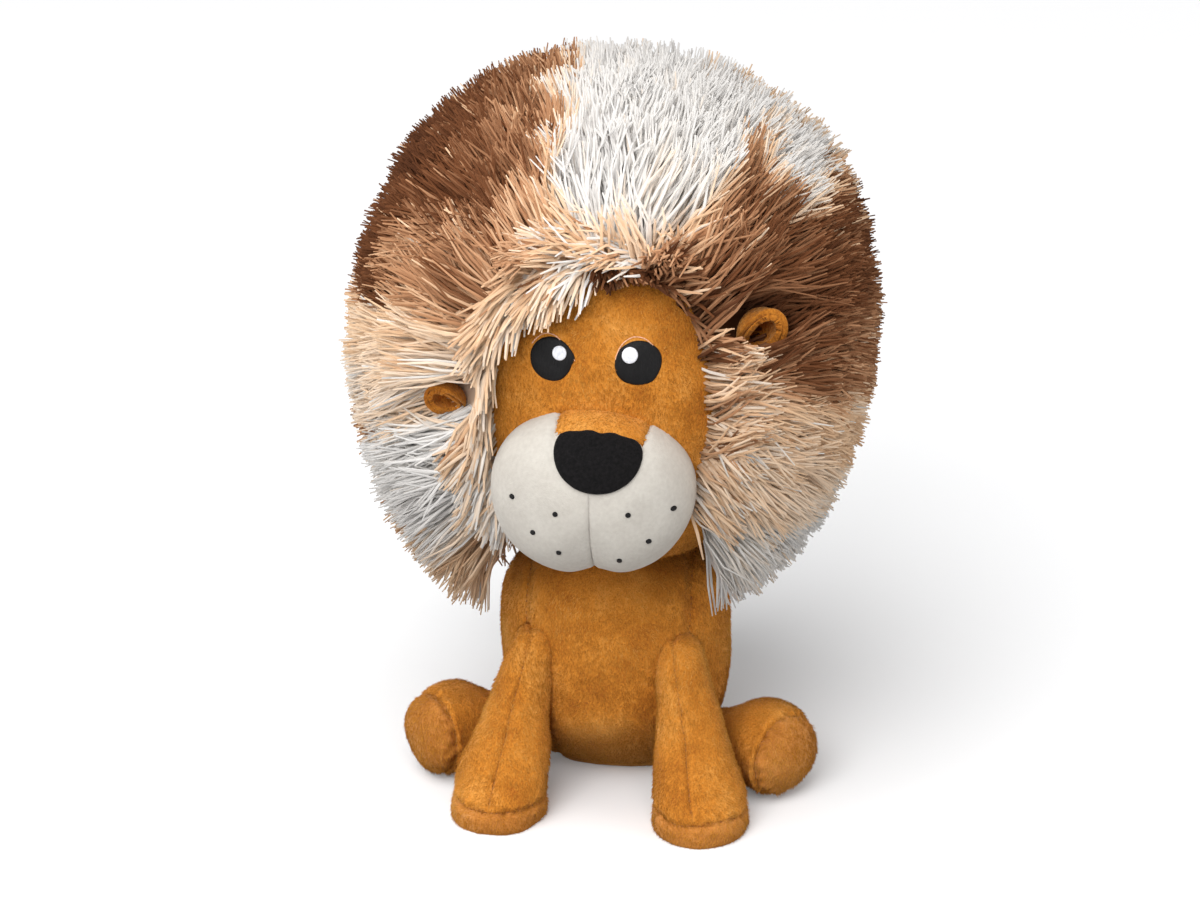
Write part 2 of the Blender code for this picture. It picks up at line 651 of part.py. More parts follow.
def build_muzzle():
    """Two cream halves and a tan bridge over a stuffed pad that sits on the face, with the nose patch on top."""
    seat = head_form("muzzle_seat", COVER_THICKNESS + 2 * PIECE_GAP)
    cover = cut(muzzle_form("muzzle_cover"), seat)
    space = muzzle_form("muzzle_space", -COVER_THICKNESS)
    top = MUZZLE_CENTRE.z + MUZZLE_HALF_HEIGHT
    front_y = MUZZLE_CENTRE.y - MUZZLE_HALF_DEPTH - CUT_OVERRUN

    def bridge_outline(grow):
        low = top - BRIDGE_LENGTH - grow
        side = BRIDGE_HALF_WIDTH + grow
        return [(-side, low), (side, low), (side, FAR), (-side, FAR)]

    bridge_region = prism("bridge_region", bridge_outline(0), front_y, HEAD_CENTRE.y)
    bridge_gap = prism("bridge_gap", bridge_outline(SEAM_GAP), front_y, HEAD_CENTRE.y)
    halves = {
        "left": block("muzzle_left_half", (-FAR, -FAR, -FAR), (-SEAM_GAP / 2, FAR, FAR)),
        "right": block("muzzle_right_half", (SEAM_GAP / 2, -FAR, -FAR), (FAR, FAR, FAR)),
    }
    pieces = []
    for side in SIDES:
        panel = cut(piece(f"muzzle_{side}_panel", cover, CREAM_FABRIC), space)
        keep(panel, halves[side])
        pieces.append(cut(panel, bridge_gap))
    bridge = cut(piece("nose_bridge_panel", cover, TAN_PLUSH), space)
    pieces.append(keep(bridge, bridge_region))
    core = muzzle_form("muzzle_core", -COVER_THICKNESS - PIECE_GAP)
    pieces.append(cut(piece("muzzle_stuffing", core, FIBRE_FILL), seat))

    nose_top = top - NOSE_TOP_DROP
    nose_outline = [
        (-NOSE_HALF_WIDTH * across_share, nose_top - NOSE_HEIGHT * down_share)
        for across_share, down_share in NOSE_OUTLINE_SHARES
    ]
    nose_outline += [(-x, z) for x, z in reversed(nose_outline)]
    nose_outer = muzzle_form("nose_outer", PIECE_GAP + PATCH_THICKNESS)
    nose = cut(piece("nose", nose_outer, BLACK_FELT), muzzle_form("nose_inner", PIECE_GAP))
    pieces.append(keep(nose, prism("nose_region", nose_outline, front_y, MUZZLE_CENTRE.y)))
    return pieces


NOSE_OUTLINE_SHARES = ((0.12, 1.0), (0.62, 0.86), (0.93, 0.55), (1.0, 0.26), (0.90, 0.06), (0.50, 0.0))


def build_eyes():
    face_surface = COVER_THICKNESS + 2 * PIECE_GAP
    front_y = HEAD_CENTRE.y - HEAD_HALF_DEPTH - CUT_OVERRUN

    def patch(name, place, half_width, half_height, base, finish):
        region = oval_cone(f"{name}_region", place, half_width, half_height, front_y, HEAD_CENTRE.y, 0)
        obj = piece(name, head_form(f"{name}_outer", base + PATCH_THICKNESS), finish)
        return keep(cut(obj, head_form(f"{name}_inner", base)), region)

    pieces = []
    for side, sign in SIDES.items():
        place = HEAD_CENTRE + Vector((sign * EYE_SPACING / 2, 0, EYE_RISE))
        pieces.append(patch(f"eye_{side}", place, EYE_HALF_WIDTH, EYE_HALF_HEIGHT, face_surface, BLACK_FELT))
        spot = place + Vector((-sign * HIGHLIGHT_SIDE, 0, HIGHLIGHT_RISE))
        spot_base = face_surface + PATCH_THICKNESS + PIECE_GAP
        spot_name = f"eye_highlight_{side}"
        pieces.append(patch(spot_name, spot, HIGHLIGHT_RADIUS, HIGHLIGHT_RADIUS, spot_base, WHITE_THREAD))
    return pieces


# Each row is how far down the leg, how far out and forward, and the half width and half length as shares of the paw's.
FRONT_LEG_SHARES = (
    (0.00, 0.00, 0.00, 0.44, 0.40),
    (0.30, 0.35, 0.40, 0.62, 0.55),
    (0.60, 0.75, 0.72, 0.80, 0.70),
    (0.78, 0.95, 0.92, 0.97, 0.93),
    (0.92, 1.00, 1.00, 1.00, 1.00),
    (1.02, 1.00, 1.00, 0.84, 0.86),
)


def front_leg_form(side, sign, label, grow=0):
    root = shoulder_place(sign)
    stations = []
    for down_share, out_share, forward_share, width_share, length_share in FRONT_LEG_SHARES:
        place = Vector((
            sign * (SHOULDER_SPREAD + (PAW_SPREAD - SHOULDER_SPREAD) * out_share),
            root.y + (-PAW_FORWARD - root.y) * forward_share,
            SHOULDER_HEIGHT * (1 - down_share),
        ))
        stations.append((place, PAW_HALF_WIDTH * width_share, PAW_HALF_LENGTH * length_share))
    name = f"front_leg_{side}_{label}"
    torso = torso_form(f"{name}_torso", PIECE_GAP - grow)
    across = Vector((1, 0, 0))
    return limb(name, stations, across, Vector((0, 1, 0)), root, SHOULDER_RADIUS, grow, clear_of=[torso])


def build_front_legs():
    floor_cover = block("paw_floor_cover", (-FAR, -FAR, -FAR), (FAR, FAR, COVER_THICKNESS))
    floor_core = block("paw_floor_core", (-FAR, -FAR, -FAR), (FAR, FAR, COVER_THICKNESS + PIECE_GAP))
    sole_region = block("sole_region", (-FAR, -FAR, -FAR), (FAR, FAR, SOLE_SEAM_HEIGHT))
    above_sole = block("above_sole", (-FAR, -FAR, SOLE_SEAM_HEIGHT + SEAM_GAP), (FAR, FAR, FAR))
    for side, sign in SIDES.items():
        root = shoulder_place(sign)
        cover = cut(front_leg_form(side, sign, "cover_form"), FLOOR)
        space = cut(front_leg_form(side, sign, "space_form", -COVER_THICKNESS), floor_cover)
        core = cut(front_leg_form(side, sign, "core_form", -COVER_THICKNESS - PIECE_GAP), floor_core)
        lean = Vector((sign * (PAW_SPREAD - SHOULDER_SPREAD), 0, -SHOULDER_HEIGHT)).normalized()
        outwards = lean.cross(Vector((0, sign, 0))).normalized()
        outwards = outwards if outwards.x * sign > 0 else -outwards
        regions = {
            "outer": half_space(f"leg_outer_{side}", root + outwards * SEAM_GAP / 2, outwards),
            "inner": half_space(f"leg_inner_{side}", root - outwards * SEAM_GAP / 2, -outwards),
        }
        pieces = [piece(f"front_leg_{side}_stuffing", core, FIBRE_FILL)]
        for label, region in regions.items():
            panel = cut(piece(f"front_leg_{side}_{label}_panel", cover, TAN_PLUSH), space)
            pieces.append(keep(panel, region, above_sole))
        sole = cut(piece(f"front_leg_{side}_sole", cover, TAN_PLUSH), space)
        pieces.append(keep(sole, sole_region))
        on_joint(f"front_leg_{side}_joint", root, pieces)


HIND_LEG_SHARES = (
    (0.00, 0.60, 0.0),
    (0.42, 0.64, 0.2),
    (0.78, 1.06, 1.0),
    (1.20, 1.02, 1.0),
    (1.45, 0.66, 1.0),
)


def hind_leg_direction(sign):
    angle = math.radians(HIND_LEG_FORWARD_DEG)
    return Vector((sign * math.cos(angle), -math.sin(angle), 0))


def hind_leg_form(side, sign, label, grow=0):
    root = hip_place(sign)
    along = hind_leg_direction(sign)
    foot_height = HIND_FOOT_RADIUS - FLOOR_SINK
    stations = []
    for along_share, radius_share, drop_share in HIND_LEG_SHARES:
        height = HIP_HEIGHT + (foot_height - HIP_HEIGHT) * drop_share
        place = Vector((root.x, root.y, height)) + along * HIND_LEG_LENGTH * along_share
        radius = HIND_FOOT_RADIUS * radius_share
        stations.append((place, radius, radius))
    name = f"hind_leg_{side}_{label}"
    torso = torso_form(f"{name}_torso", PIECE_GAP - grow)
    swung_torso = torso_form(f"{name}_swung_torso", PIECE_GAP - grow)
    turn = Matrix.Rotation(-sign * math.radians(HIND_LEG_SWING_BACK_DEG), 4, "Z")
    swung_torso.data.transform(Matrix.Translation(root) @ turn @ Matrix.Translation(-root))
    side_way = along.cross(Vector((0, 0, 1)))
    clear_of = [torso, swung_torso]
    return limb(name, stations, side_way, Vector((0, 0, 1)), root, HIP_RADIUS, grow, clear_of=clear_of)


def build_hind_legs():
    floor_cover = block("foot_floor_cover", (-FAR, -FAR, -FAR), (FAR, FAR, COVER_THICKNESS))
    floor_core = block("foot_floor_core", (-FAR, -FAR, -FAR), (FAR, FAR, COVER_THICKNESS + PIECE_GAP))
    for side, sign in SIDES.items():
        along = hind_leg_direction(sign)
        cover = cut(hind_leg_form(side, sign, "cover_form"), FLOOR)
        space = cut(hind_leg_form(side, sign, "space_form", -COVER_THICKNESS), floor_cover)
        core = cut(hind_leg_form(side, sign, "core_form", -COVER_THICKNESS - PIECE_GAP), floor_core)
        seam = hip_place(sign) + along * (HIND_LEG_LENGTH + HIND_SOLE_DEPTH)
        beyond = half_space(f"hind_beyond_{side}", seam + along * SEAM_GAP, along)
        before = half_space(f"hind_before_{side}", seam, -along)
        leg = cut(piece(f"hind_leg_{side}_cover", cover, TAN_PLUSH), space)
        keep(leg, before)
        sole = cut(piece(f"hind_leg_{side}_sole", cover, TAN_PLUSH), space)
        keep(sole, beyond)
        filling = piece(f"hind_leg_{side}_stuffing", core, FIBRE_FILL)
        on_joint(f"hind_leg_{side}_joint", hip_place(sign), [leg, sole, filling])


# Each row is how far along the tail, how far down from the root to the ground, and how far to the side.
TAIL_SHARES = ((0.0, 0.0, 0.0), (0.33, 0.65, 0.1), (0.7, 0.75, 0.5), (1.0, 0.25, 1.0))


def tail_form(label, grow=0):
    root = tail_place()
    low = TAIL_RADIUS - FLOOR_SINK
    stations = []
    for along_share, drop_share, bend_share in TAIL_SHARES:
        place = root + Vector((-TAIL_BEND * bend_share, TAIL_LENGTH * along_share, (low - root.z) * drop_share))
        stations.append((place, TAIL_RADIUS, TAIL_RADIUS))
    across = Vector((1, 0, 0))
    return limb(f"tail_{label}", stations, across, Vector((0, 0, 1)), root, TAIL_ROOT_RADIUS, grow, TAIL_SIDES)


def build_tail():
    """A thin stuffed tube that sags between the seat and a tuft of mane fur, which wraps its end and lies on the
    ground behind the toy."""
    floor_cover = block("tail_floor_cover", (-FAR, -FAR, -FAR), (FAR, FAR, COVER_THICKNESS))
    floor_core = block("tail_floor_core", (-FAR, -FAR, -FAR), (FAR, FAR, COVER_THICKNESS + PIECE_GAP))
    cover = cut(tail_form("cover_form"), FLOOR)
    space = cut(tail_form("space_form", -COVER_THICKNESS), floor_cover)
    core = cut(tail_form("core_form", -COVER_THICKNESS - PIECE_GAP), floor_core)
    end = tail_place() + Vector((-TAIL_BEND, TAIL_LENGTH, 0))
    before_end = block("tail_before_end", (-FAR, -FAR, -FAR), (FAR, end.y - TAIL_RADIUS, FAR))
    tube = keep(cut(piece("tail_cover", cover, TAN_PLUSH), space), before_end)
    filling = piece("tail_stuffing", core, FIBRE_FILL)
    tuft_middle = end.y - TAIL_RADIUS - TUFT_WRAP + TUFT_LENGTH / 2
    tuft_centre = Vector((end.x, tuft_middle, TUFT_RADIUS - FLOOR_SINK))
    tuft_half = Vector((TUFT_RADIUS, TUFT_LENGTH / 2, 0))
    tuft_form = swollen(
        "tuft_form", tuft_centre, tuft_half, TUFT_RADIUS, TUFT_RADIUS, (ROUND_POWER, ROUND_POWER), 0,
        HALF_STEP_SHARE, BALL_COLUMNS, BALL_ROWS,
    )
    tuft = cut(piece("tail_tuft", tuft_form, BROWN_FUR), FLOOR)
    cut(tuft, tail_form("tuft_socket", PIECE_GAP))
    on_joint("tail_joint", tail_place(), [tube, filling, tuft])


build_torso()
build_neck()
HEAD_PIVOT = on_joint("head_joint", NECK_PIVOT, build_head() + build_muzzle() + build_eyes())
build_ears(HEAD_PIVOT)
build_front_legs()
build_hind_legs()
build_tail()
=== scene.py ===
# %% [markdown]
# This file dresses a sitting plush lion, piece by piece, as it is sewn: a short-pile body with stitched
# seams, four limp legs, a smooth muzzle, embroidered eyes, folded ears and a very shaggy mane. The packed
# model is the frame that everything here is built round, so it is loaded first.

# %% Load the imported lion
import json
import math
from contextlib import contextmanager

import bpy
import numpy as np
from mathutils import Matrix, Vector
from mathutils.bvhtree import BVHTree


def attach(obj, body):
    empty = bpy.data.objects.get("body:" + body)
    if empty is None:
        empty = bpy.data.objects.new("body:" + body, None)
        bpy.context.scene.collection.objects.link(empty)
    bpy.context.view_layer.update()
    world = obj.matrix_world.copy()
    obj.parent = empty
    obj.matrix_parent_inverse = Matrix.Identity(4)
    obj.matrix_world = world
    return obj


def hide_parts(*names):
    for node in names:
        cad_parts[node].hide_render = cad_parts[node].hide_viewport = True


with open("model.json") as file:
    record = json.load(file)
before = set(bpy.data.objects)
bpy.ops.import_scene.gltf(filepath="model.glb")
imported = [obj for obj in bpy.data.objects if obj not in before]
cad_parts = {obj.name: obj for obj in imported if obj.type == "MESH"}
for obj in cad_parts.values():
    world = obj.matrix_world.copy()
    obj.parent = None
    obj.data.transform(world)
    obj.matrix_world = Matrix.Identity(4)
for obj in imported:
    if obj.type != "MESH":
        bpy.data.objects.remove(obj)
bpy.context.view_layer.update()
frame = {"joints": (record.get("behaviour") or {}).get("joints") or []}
MM = 0.001
SIDES = {"left": -1, "right": 1}
joint_places = {joint["name"]: Vector(joint["pos_m"]) for joint in frame["joints"]}

# %% [markdown]
# The camera stands a little above the toy and slightly to its right, as the photographer did. A long lens
# keeps the big head from looking bigger than it is. The places were found by fitting the paws, eyes and
# head to the picture.

# %% Camera
PICTURE = (1200, 900)
scene = bpy.context.scene


def put(name, data, place, target):
    """A camera or a lamp at a place, which looks at a target."""
    obj = bpy.data.objects.new(name, data)
    scene.collection.objects.link(obj)
    obj.location = place
    obj.rotation_euler = (Vector(target) - Vector(place)).to_track_quat("-Z", "Y").to_euler()
    return obj


camera_data = bpy.data.cameras.new("photo_camera")
camera_data.lens = 89.6
camera_data.sensor_width = 36
camera = put("photo_camera", camera_data, (0.1330, -1.0565, 0.5635), (-0.0062, 0.0007, 0.1327))
scene.camera = camera
print("camera is", round(camera.location.length, 3), "m from the seat")

# %% [markdown]
# Soft lamps stand for the studio's light boxes: one broad light overhead, a box in front, and a low box on
# each side. The floor is a plain pale sheet that only takes the toy's shadow. The background is white to
# the camera alone, through Light Path, so that it doesn't add light to the toy.

# %% Floor and lamps
scene.view_settings.view_transform = "Standard"
world = bpy.data.worlds.new("white_room")
scene.world = world
world.use_nodes = True


def add_node(tree, kind, settings=None, sockets=None):
    """A node with these settings, whose sockets take values or what other nodes give."""
    made = tree.nodes.new(kind)
    for key, value in (settings or {}).items():
        setattr(made, key, value)
    for key, value in (sockets or {}).items():
        if isinstance(value, bpy.types.NodeSocket):
            tree.links.new(value, made.inputs[key])
        else:
            made.inputs[key].default_value = value
    return made


def seen_directly(tree):
    """1 where the eye, a reflection or a pane looks at something, and 0 where it only lights."""
    rays = add_node(tree, "ShaderNodeLightPath").outputs
    total = rays["Is Camera Ray"]
    for name in ("Is Glossy Ray", "Is Transmission Ray"):
        larger = add_node(tree, "ShaderNodeMath", {"operation": "MAXIMUM"}, {0: total, 1: rays[name]})
        total = larger.outputs[0]
    return total


room = world.node_tree
room_light = room.nodes["Background"]
room_light.inputs["Color"].default_value = (0.80, 0.80, 0.80, 1)
room_light.inputs["Strength"].default_value = 0.44
room_view = add_node(room, "ShaderNodeBackground", {}, {"Color": (1, 1, 1, 1)})
room_mix = add_node(
    room, "ShaderNodeMixShader", {},
    {"Fac": seen_directly(room), 1: room_light.outputs[0], 2: room_view.outputs[0]},
)
room.links.new(room_mix.outputs[0], room.nodes["World Output"].inputs["Surface"])

LIT_GREY = (0.30, 0.30, 0.30, 1)
SEEN_WHITE = (0.84, 0.84, 0.845, 1)
FLOOR_GLOW = 0.10
bpy.ops.mesh.primitive_plane_add(size=8, location=(0, 0, 0))
floor = bpy.context.object
floor.name = "floor"
floor_paint = bpy.data.materials.new("pale_floor")
floor_paint.use_nodes = True
paint_tree = floor_paint.node_tree
paint = paint_tree.nodes["Principled BSDF"].inputs
paint["Roughness"].default_value = 0.9
paint["Emission Color"].default_value = (1, 1, 1, 1)
seen = seen_directly(paint_tree)
tint = add_node(paint_tree, "ShaderNodeMix", {"data_type": "RGBA"}, {0: seen, 6: LIT_GREY, 7: SEEN_WHITE})
glow = add_node(paint_tree, "ShaderNodeMath", {"operation": "MULTIPLY"}, {0: seen, 1: FLOOR_GLOW})
paint_tree.links.new(tint.outputs[2], paint["Base Color"])
paint_tree.links.new(glow.outputs[0], paint["Emission Strength"])
floor.data.materials.append(floor_paint)


def lamp(name, kind, place, target, energy, **settings):
    data = bpy.data.lights.new(name, kind)
    data.energy = energy
    for key, value in settings.items():
        setattr(data, key, value)
    put(name, data, place, target)


BREAST = (0, 0, 0.14)
lamp("front_box", "AREA", (-0.35, -1.4, 1.1), BREAST, 14, size=1.0)
lamp("right_box", "AREA", (1.3, -0.7, 0.35), BREAST, 6, size=0.8)
lamp("left_box", "AREA", (-1.3, -0.7, 0.25), BREAST, 6, size=0.8)
lamp("overhead_box", "SUN", (-0.28, -0.70, 1.4), (0, 0, 0), 2.2, angle=math.radians(55))

# %% [markdown]
# Shader maths reads badly as a web of nodes. Here a node's output is wrapped in a small class whose plus
# and times signs add the Math nodes, so a pattern is written like a formula. Every other node comes from
# one method that takes its type, its settings and what goes into its sockets.

# %% A small language for finishes


class Wire:
    """A number or a colour that a node gives. Numbers can be added and multiplied."""

    def __init__(self, finish, socket):
        self.finish = finish
        self.socket = socket

    def combined(self, operation, other):
        return self.finish.node("ShaderNodeMath", {"operation": operation}, {0: self, 1: other})

    def __add__(self, other):
        return self.combined("ADD", other)

    def __mul__(self, other):
        return self.combined("MULTIPLY", other)


class Finish:
    """A material whose nodes are written as formulas."""

    def __init__(self, name, roughness, **sockets):
        self.material = bpy.data.materials.new(name)
        self.material.use_nodes = True
        self.tree = self.material.node_tree
        self.shader = self.tree.nodes["Principled BSDF"]
        self.shader.inputs["Roughness"].default_value = roughness
        for key, value in sockets.items():
            self.shader.inputs[key.replace("_", " ")].default_value = value

    def node(self, kind, settings, sockets, output=0):
        sockets = {key: getattr(value, "socket", value) for key, value in sockets.items()}
        return Wire(self, add_node(self.tree, kind, settings, sockets).outputs[output])

    def noise(self, size, detail=3, stretch=(1, 1, 1)):
        """A cloudy pattern from 0 to 1, whose blots are about this many metres across."""
        place = self.node("ShaderNodeTexCoord", {}, {}, "Object")
        mapped = self.node("ShaderNodeMapping", {}, {"Vector": place, "Scale": stretch})
        return self.node("ShaderNodeTexNoise", {}, {"Vector": mapped, "Scale": 1 / size, "Detail": detail})

    def mix(self, share, first, second):
        return self.node("ShaderNodeMix", {"data_type": "RGBA"}, {0: share, 6: first, 7: second}, 2)

    def ramp(self, value, *stops):
        wire = self.node("ShaderNodeValToRGB", {}, {"Fac": value})
        elements = wire.socket.node.color_ramp.elements
        while len(elements) < len(stops):
            elements.new(1)
        for element, (place, colour) in zip(elements, stops):
            element.position = place
            element.color = (*linear(colour), 1)
        return wire

    def colour(self, value):
        self.tree.links.new(value.socket, self.shader.inputs["Base Color"])

    def bump(self, height, depth, strength):
        sockets = {"Height": height, "Distance": depth, "Strength": strength}
        made = self.node("ShaderNodeBump", {}, sockets)
        self.tree.links.new(made.socket, self.shader.inputs["Normal"])


def linear(colour):
    """Linear red, green and blue of a colour written as it looks on a screen, from 0 to 255."""
    return [(c / 255 / 12.92) if c < 10 else ((c / 255 + 0.055) / 1.055) ** 2.4 for c in colour]


print("finishes can be written now")

# %% [markdown]
# Short plush catches the light by the way it was last stroked, and here that light is painted into its
# colour:
# large soft patches, lighter and darker, are painted sheen of the nap. Smaller mottling and a grain of single
# hairs go on top. The three sizes of noise below are those three things. A little sheen stands for the hair
# tips, which light up at the edges of a round form. Felt, thread and fill are plainer: one noise between two
# near tones, and where they are coarse enough to show it, a bump.

# %% Plush, cream fabric and thread


def plush_finish(name, light=(222, 156, 76), mid=(198, 125, 42), dark=(150, 84, 24), nap=1.0):
    finish = Finish(
        name, 0.92, Sheen_Weight=0.28, Sheen_Roughness=0.45, Sheen_Tint=(1.0, 0.66, 0.32, 1),
        Specular_IOR_Level=0.15,
    )
    # The large soft patches are painted sheen: lighter and darker where the stroked pile would catch the
    # light.
    stroked = finish.noise(0.020, 3)
    mottle = finish.noise(0.0038, 4)
    hairs = finish.noise(0.0007, 3, (1, 1, 0.55))
    tone = stroked * 0.62 + mottle * 0.16 + hairs * 0.40 * nap
    finish.colour(finish.ramp(tone, (0.40, dark), (0.58, mid), (0.80, light)))
    finish.bump(hairs + mottle * 0.4, 0.0010, 0.7 * nap)
    return finish.material


def plain_finish(name, roughness, blots, dark, light, grain=None, depth=0, strength=0, **sockets):
    """Blots are the size and detail of the colour's noise, and grain is the same for the bump."""
    finish = Finish(name, roughness, **sockets)
    finish.colour(finish.ramp(finish.noise(*blots), (0.3, dark), (0.7, light)))
    if grain:
        finish.bump(finish.noise(*grain), depth, strength)
    return finish.material


plush = plush_finish("tan_plush")
sole_plush = plush_finish("tan_sole_plush", (206, 146, 86), (190, 124, 58), (160, 98, 40), 0.8)
cream = Finish("cream_fabric", 0.85, Sheen_Weight=0.15, Sheen_Roughness=0.5)
cream_tone = cream.noise(0.012, 3) * 0.5 + cream.noise(0.0016, 3) * 0.5
cream.colour(cream.ramp(cream_tone, (0.35, (182, 176, 167)), (0.65, (196, 191, 182))))
cream.bump(cream.noise(0.0005, 2), 0.0003, 0.5)
SATIN = (0.0004, 2, (1, 1, 0.12))
felt = plain_finish(
    "black_felt", 0.95, (0.0012, 4), (8, 8, 8), (24, 22, 23), (0.0008, 3), 0.0006, 0.8,
    Sheen_Weight=0.03, Sheen_Roughness=0.4, Specular_IOR_Level=0.12,
)
satin_black = plain_finish(
    "black_embroidery", 0.45, (0.003, 2), (7, 6, 7), (16, 15, 16), SATIN, 0.0004, 0.7,
    Specular_IOR_Level=0.15,
)
satin_white = plain_finish(
    "white_embroidery", 0.5, (0.001, 2), (205, 207, 214), (240, 241, 246), SATIN, 0.0004, 0.6,
)
seam_thread = plain_finish("seam_thread", 0.7, (0.004, 2), (122, 70, 24), (150, 90, 34))
lid_thread = plain_finish("lid_thread", 0.6, (0.0006, 2), (220, 160, 124), (238, 190, 156))
cream_thread = plain_finish("cream_thread", 0.7, (0.001, 2), (176, 164, 146), (200, 190, 172))
fill_fibre = plain_finish(
    "fibre_fill", 0.95, (0.004, 4), (214, 214, 210), (240, 240, 236), (0.002, 5), 0.001, 0.8,
)
bag_cloth = plain_finish(
    "bag_cloth", 0.9, (0.0015, 2), (190, 191, 196), (212, 213, 218), (0.0012, 2), 0.0008, 0.8,
)
print(len([m for m in bpy.data.materials if m.use_nodes]), "materials")

# %% [markdown]
# Soft forms are modelled on a ball of even squares: a cube cut finely and swollen round. It has no poles,
# so seams can be pressed in anywhere. The swelling is a formula, because a stuffed cover is neither a ball
# nor a box. A form is written as its half sizes, how far it drops and rises from its centre, and two powers
# that say how full it is below and above. Selecting, splitting and modifiers get small helpers, since every
# piece needs them.

# %% Mesh helpers
WAVES = 9


def make_active(obj):
    bpy.ops.object.select_all(action="DESELECT")
    obj.select_set(True)
    bpy.context.view_layer.objects.active = obj


def added(make, name, **settings):
    """A new piece at the origin, made by one of Blender's own shapes."""
    bpy.ops.object.select_all(action="DESELECT")
    make(**{"location": (0, 0, 0), **settings})
    obj = bpy.context.object
    obj.name = obj.data.name = name
    return obj


@contextmanager
def editing():
    """Edit mode on the active piece, with all of it selected."""
    bpy.ops.object.mode_set(mode="EDIT")
    bpy.ops.mesh.select_all(action="SELECT")
    yield
    bpy.ops.object.mode_set(mode="OBJECT")


def rows_of(items, field):
    values = np.empty(len(items) * 3)
    items.foreach_get(field, values)
    return values.reshape(-1, 3)


def read_points(obj):
    return rows_of(obj.data.vertices, "co")


def read_normals(obj):
    return rows_of(obj.data.vertex_normals, "vector")


def face_centres(obj):
    return rows_of(obj.data.polygons, "center")


def write_points(obj, points):
    obj.data.vertices.foreach_set("co", np.asarray(points, dtype=np.float32).ravel())
    obj.data.update()


def puff(obj, amount):
    """Moves each point out along its normal by its own amount."""
    write_points(obj, read_points(obj) + read_normals(obj) * amount[:, None])


def unit(vectors):
    return vectors / np.maximum(np.linalg.norm(vectors, axis=-1, keepdims=True), 1e-9)


def modify(obj, kind, **settings):
    """Adds a modifier with these settings and applies it."""
    modifier = obj.modifiers.new(kind.lower(), kind)
    for key, value in settings.items():
        setattr(modifier, key, value)
    make_active(obj)
    bpy.ops.object.modifier_apply(modifier=modifier.name)


def even_ball(name, cuts):
    """A cube at the origin whose faces are cut this often, with its points moved out to radius 1."""
    obj = added(bpy.ops.mesh.primitive_cube_add, name, size=2)
    with editing():
        bpy.ops.mesh.subdivide(number_cuts=cuts)
    points = np.tan(read_points(obj) * math.pi / 4)
    write_points(obj, points / np.linalg.norm(points, axis=1)[:, None])
    obj.data.shade_smooth()
    return obj


def swell_reach(ways, form):
    """How far a stuffed form reaches from its centre along each way."""
    half, drop, rise, powers = form
    below = ways[:, 2] < 0
    power = np.where(below, powers[0], powers[1])
    across = np.hypot(ways[:, 0] / half[0], ways[:, 1] / half[1])
    up = np.abs(ways[:, 2]) / np.where(below, drop, rise)
    return (across ** power + up ** power) ** (-1 / power)


def resized(form, more):
    """The same form, larger by this much on every side."""
    half, drop, rise, powers = form
    return [size + more for size in half], drop + more, rise + more, powers


def swollen(name, centre, form, cuts):
    obj = even_ball(name, cuts)
    ways = read_points(obj)
    write_points(obj, ways * swell_reach(ways, form)[:, None] + np.array(centre))
    return obj


def split_off(obj, name, mask):
    """The faces of the mask as a piece of their own."""
    make_active(obj)
    bpy.ops.object.mode_set(mode="EDIT")
    bpy.ops.mesh.select_mode(type="FACE")
    bpy.ops.mesh.select_all(action="DESELECT")
    bpy.ops.object.mode_set(mode="OBJECT")
    obj.data.polygons.foreach_set("select", np.asarray(mask, dtype=bool))
    bpy.ops.object.mode_set(mode="EDIT")
    bpy.ops.mesh.separate(type="SELECTED")
    bpy.ops.object.mode_set(mode="OBJECT")
    parted = [o for o in bpy.context.selected_objects if o != obj][0]
    parted.name = parted.data.name = name
    return parted


def cut_along(obj, place, way, clear=False, near=0.3 * MM):
    """Cuts the faces along a plane, for a seam with a clean edge. Points near the plane are moved onto it."""
    way = np.array(way, dtype=float) / np.linalg.norm(way)
    points = read_points(obj)
    off = (points - np.array(place)) @ way
    write_points(obj, points - np.where(np.abs(off) < near, off, 0)[:, None] * way)
    make_active(obj)
    with editing():
        bpy.ops.mesh.bisect(plane_co=place, plane_no=way, clear_outer=clear)


def valley(distance, width):
    return np.exp(-(distance / width) ** 2)


def wander(points, size, seed):
    """A smooth random value for each point, mostly from -1 to 1, in waves of about this size in metres."""
    random = np.random.default_rng(seed)
    total = np.zeros(len(points))
    for wave in range(WAVES):
        way = random.normal(size=3)
        way *= 2 * math.pi / size / np.linalg.norm(way) * random.uniform(0.6, 1.5)
        total += np.sin(points @ way + random.uniform(0, 2 * math.pi))
    return total / (WAVES / 2)


def drawn_away(points, place, radius, way):
    """Moves the points that are nearer to a place than the radius: along the way, by what is missing."""
    gap = np.linalg.norm(points - np.array(place), axis=1)[:, None]
    return points + way * np.maximum(radius - gap, 0)


def place_piece(obj, body, slot, *nodes):
    """Hangs a piece on its body and hides the solids of the model that it stands for. The slot is not used.
    """
    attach(obj, body)
    if nodes:
        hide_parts(*nodes)


def finish_piece(obj, body, nodes, slot, material):
    obj.data.materials.clear()
    obj.data.materials.append(material)
    obj.data.shade_smooth()
    place_piece(obj, body, slot, *nodes)


print("helpers are ready")

# %% [markdown]
# Pile grows on the covers as they are before they get their thickness, so each cover's skin is kept.
# Blender's operators don't number faces alike in every run, so a skin's triangles are put in order by their
# places, in steps of a hundredth of a millimetre. The random draws then fall on the same triangles each
# time.

# %% Skins and covers
SKIN_STEP = 0.01 * MM
SKIN_SHIFT = 100000
SKIN_SPAN = 1000000
FABRIC = 1.4 * MM
skins = {}


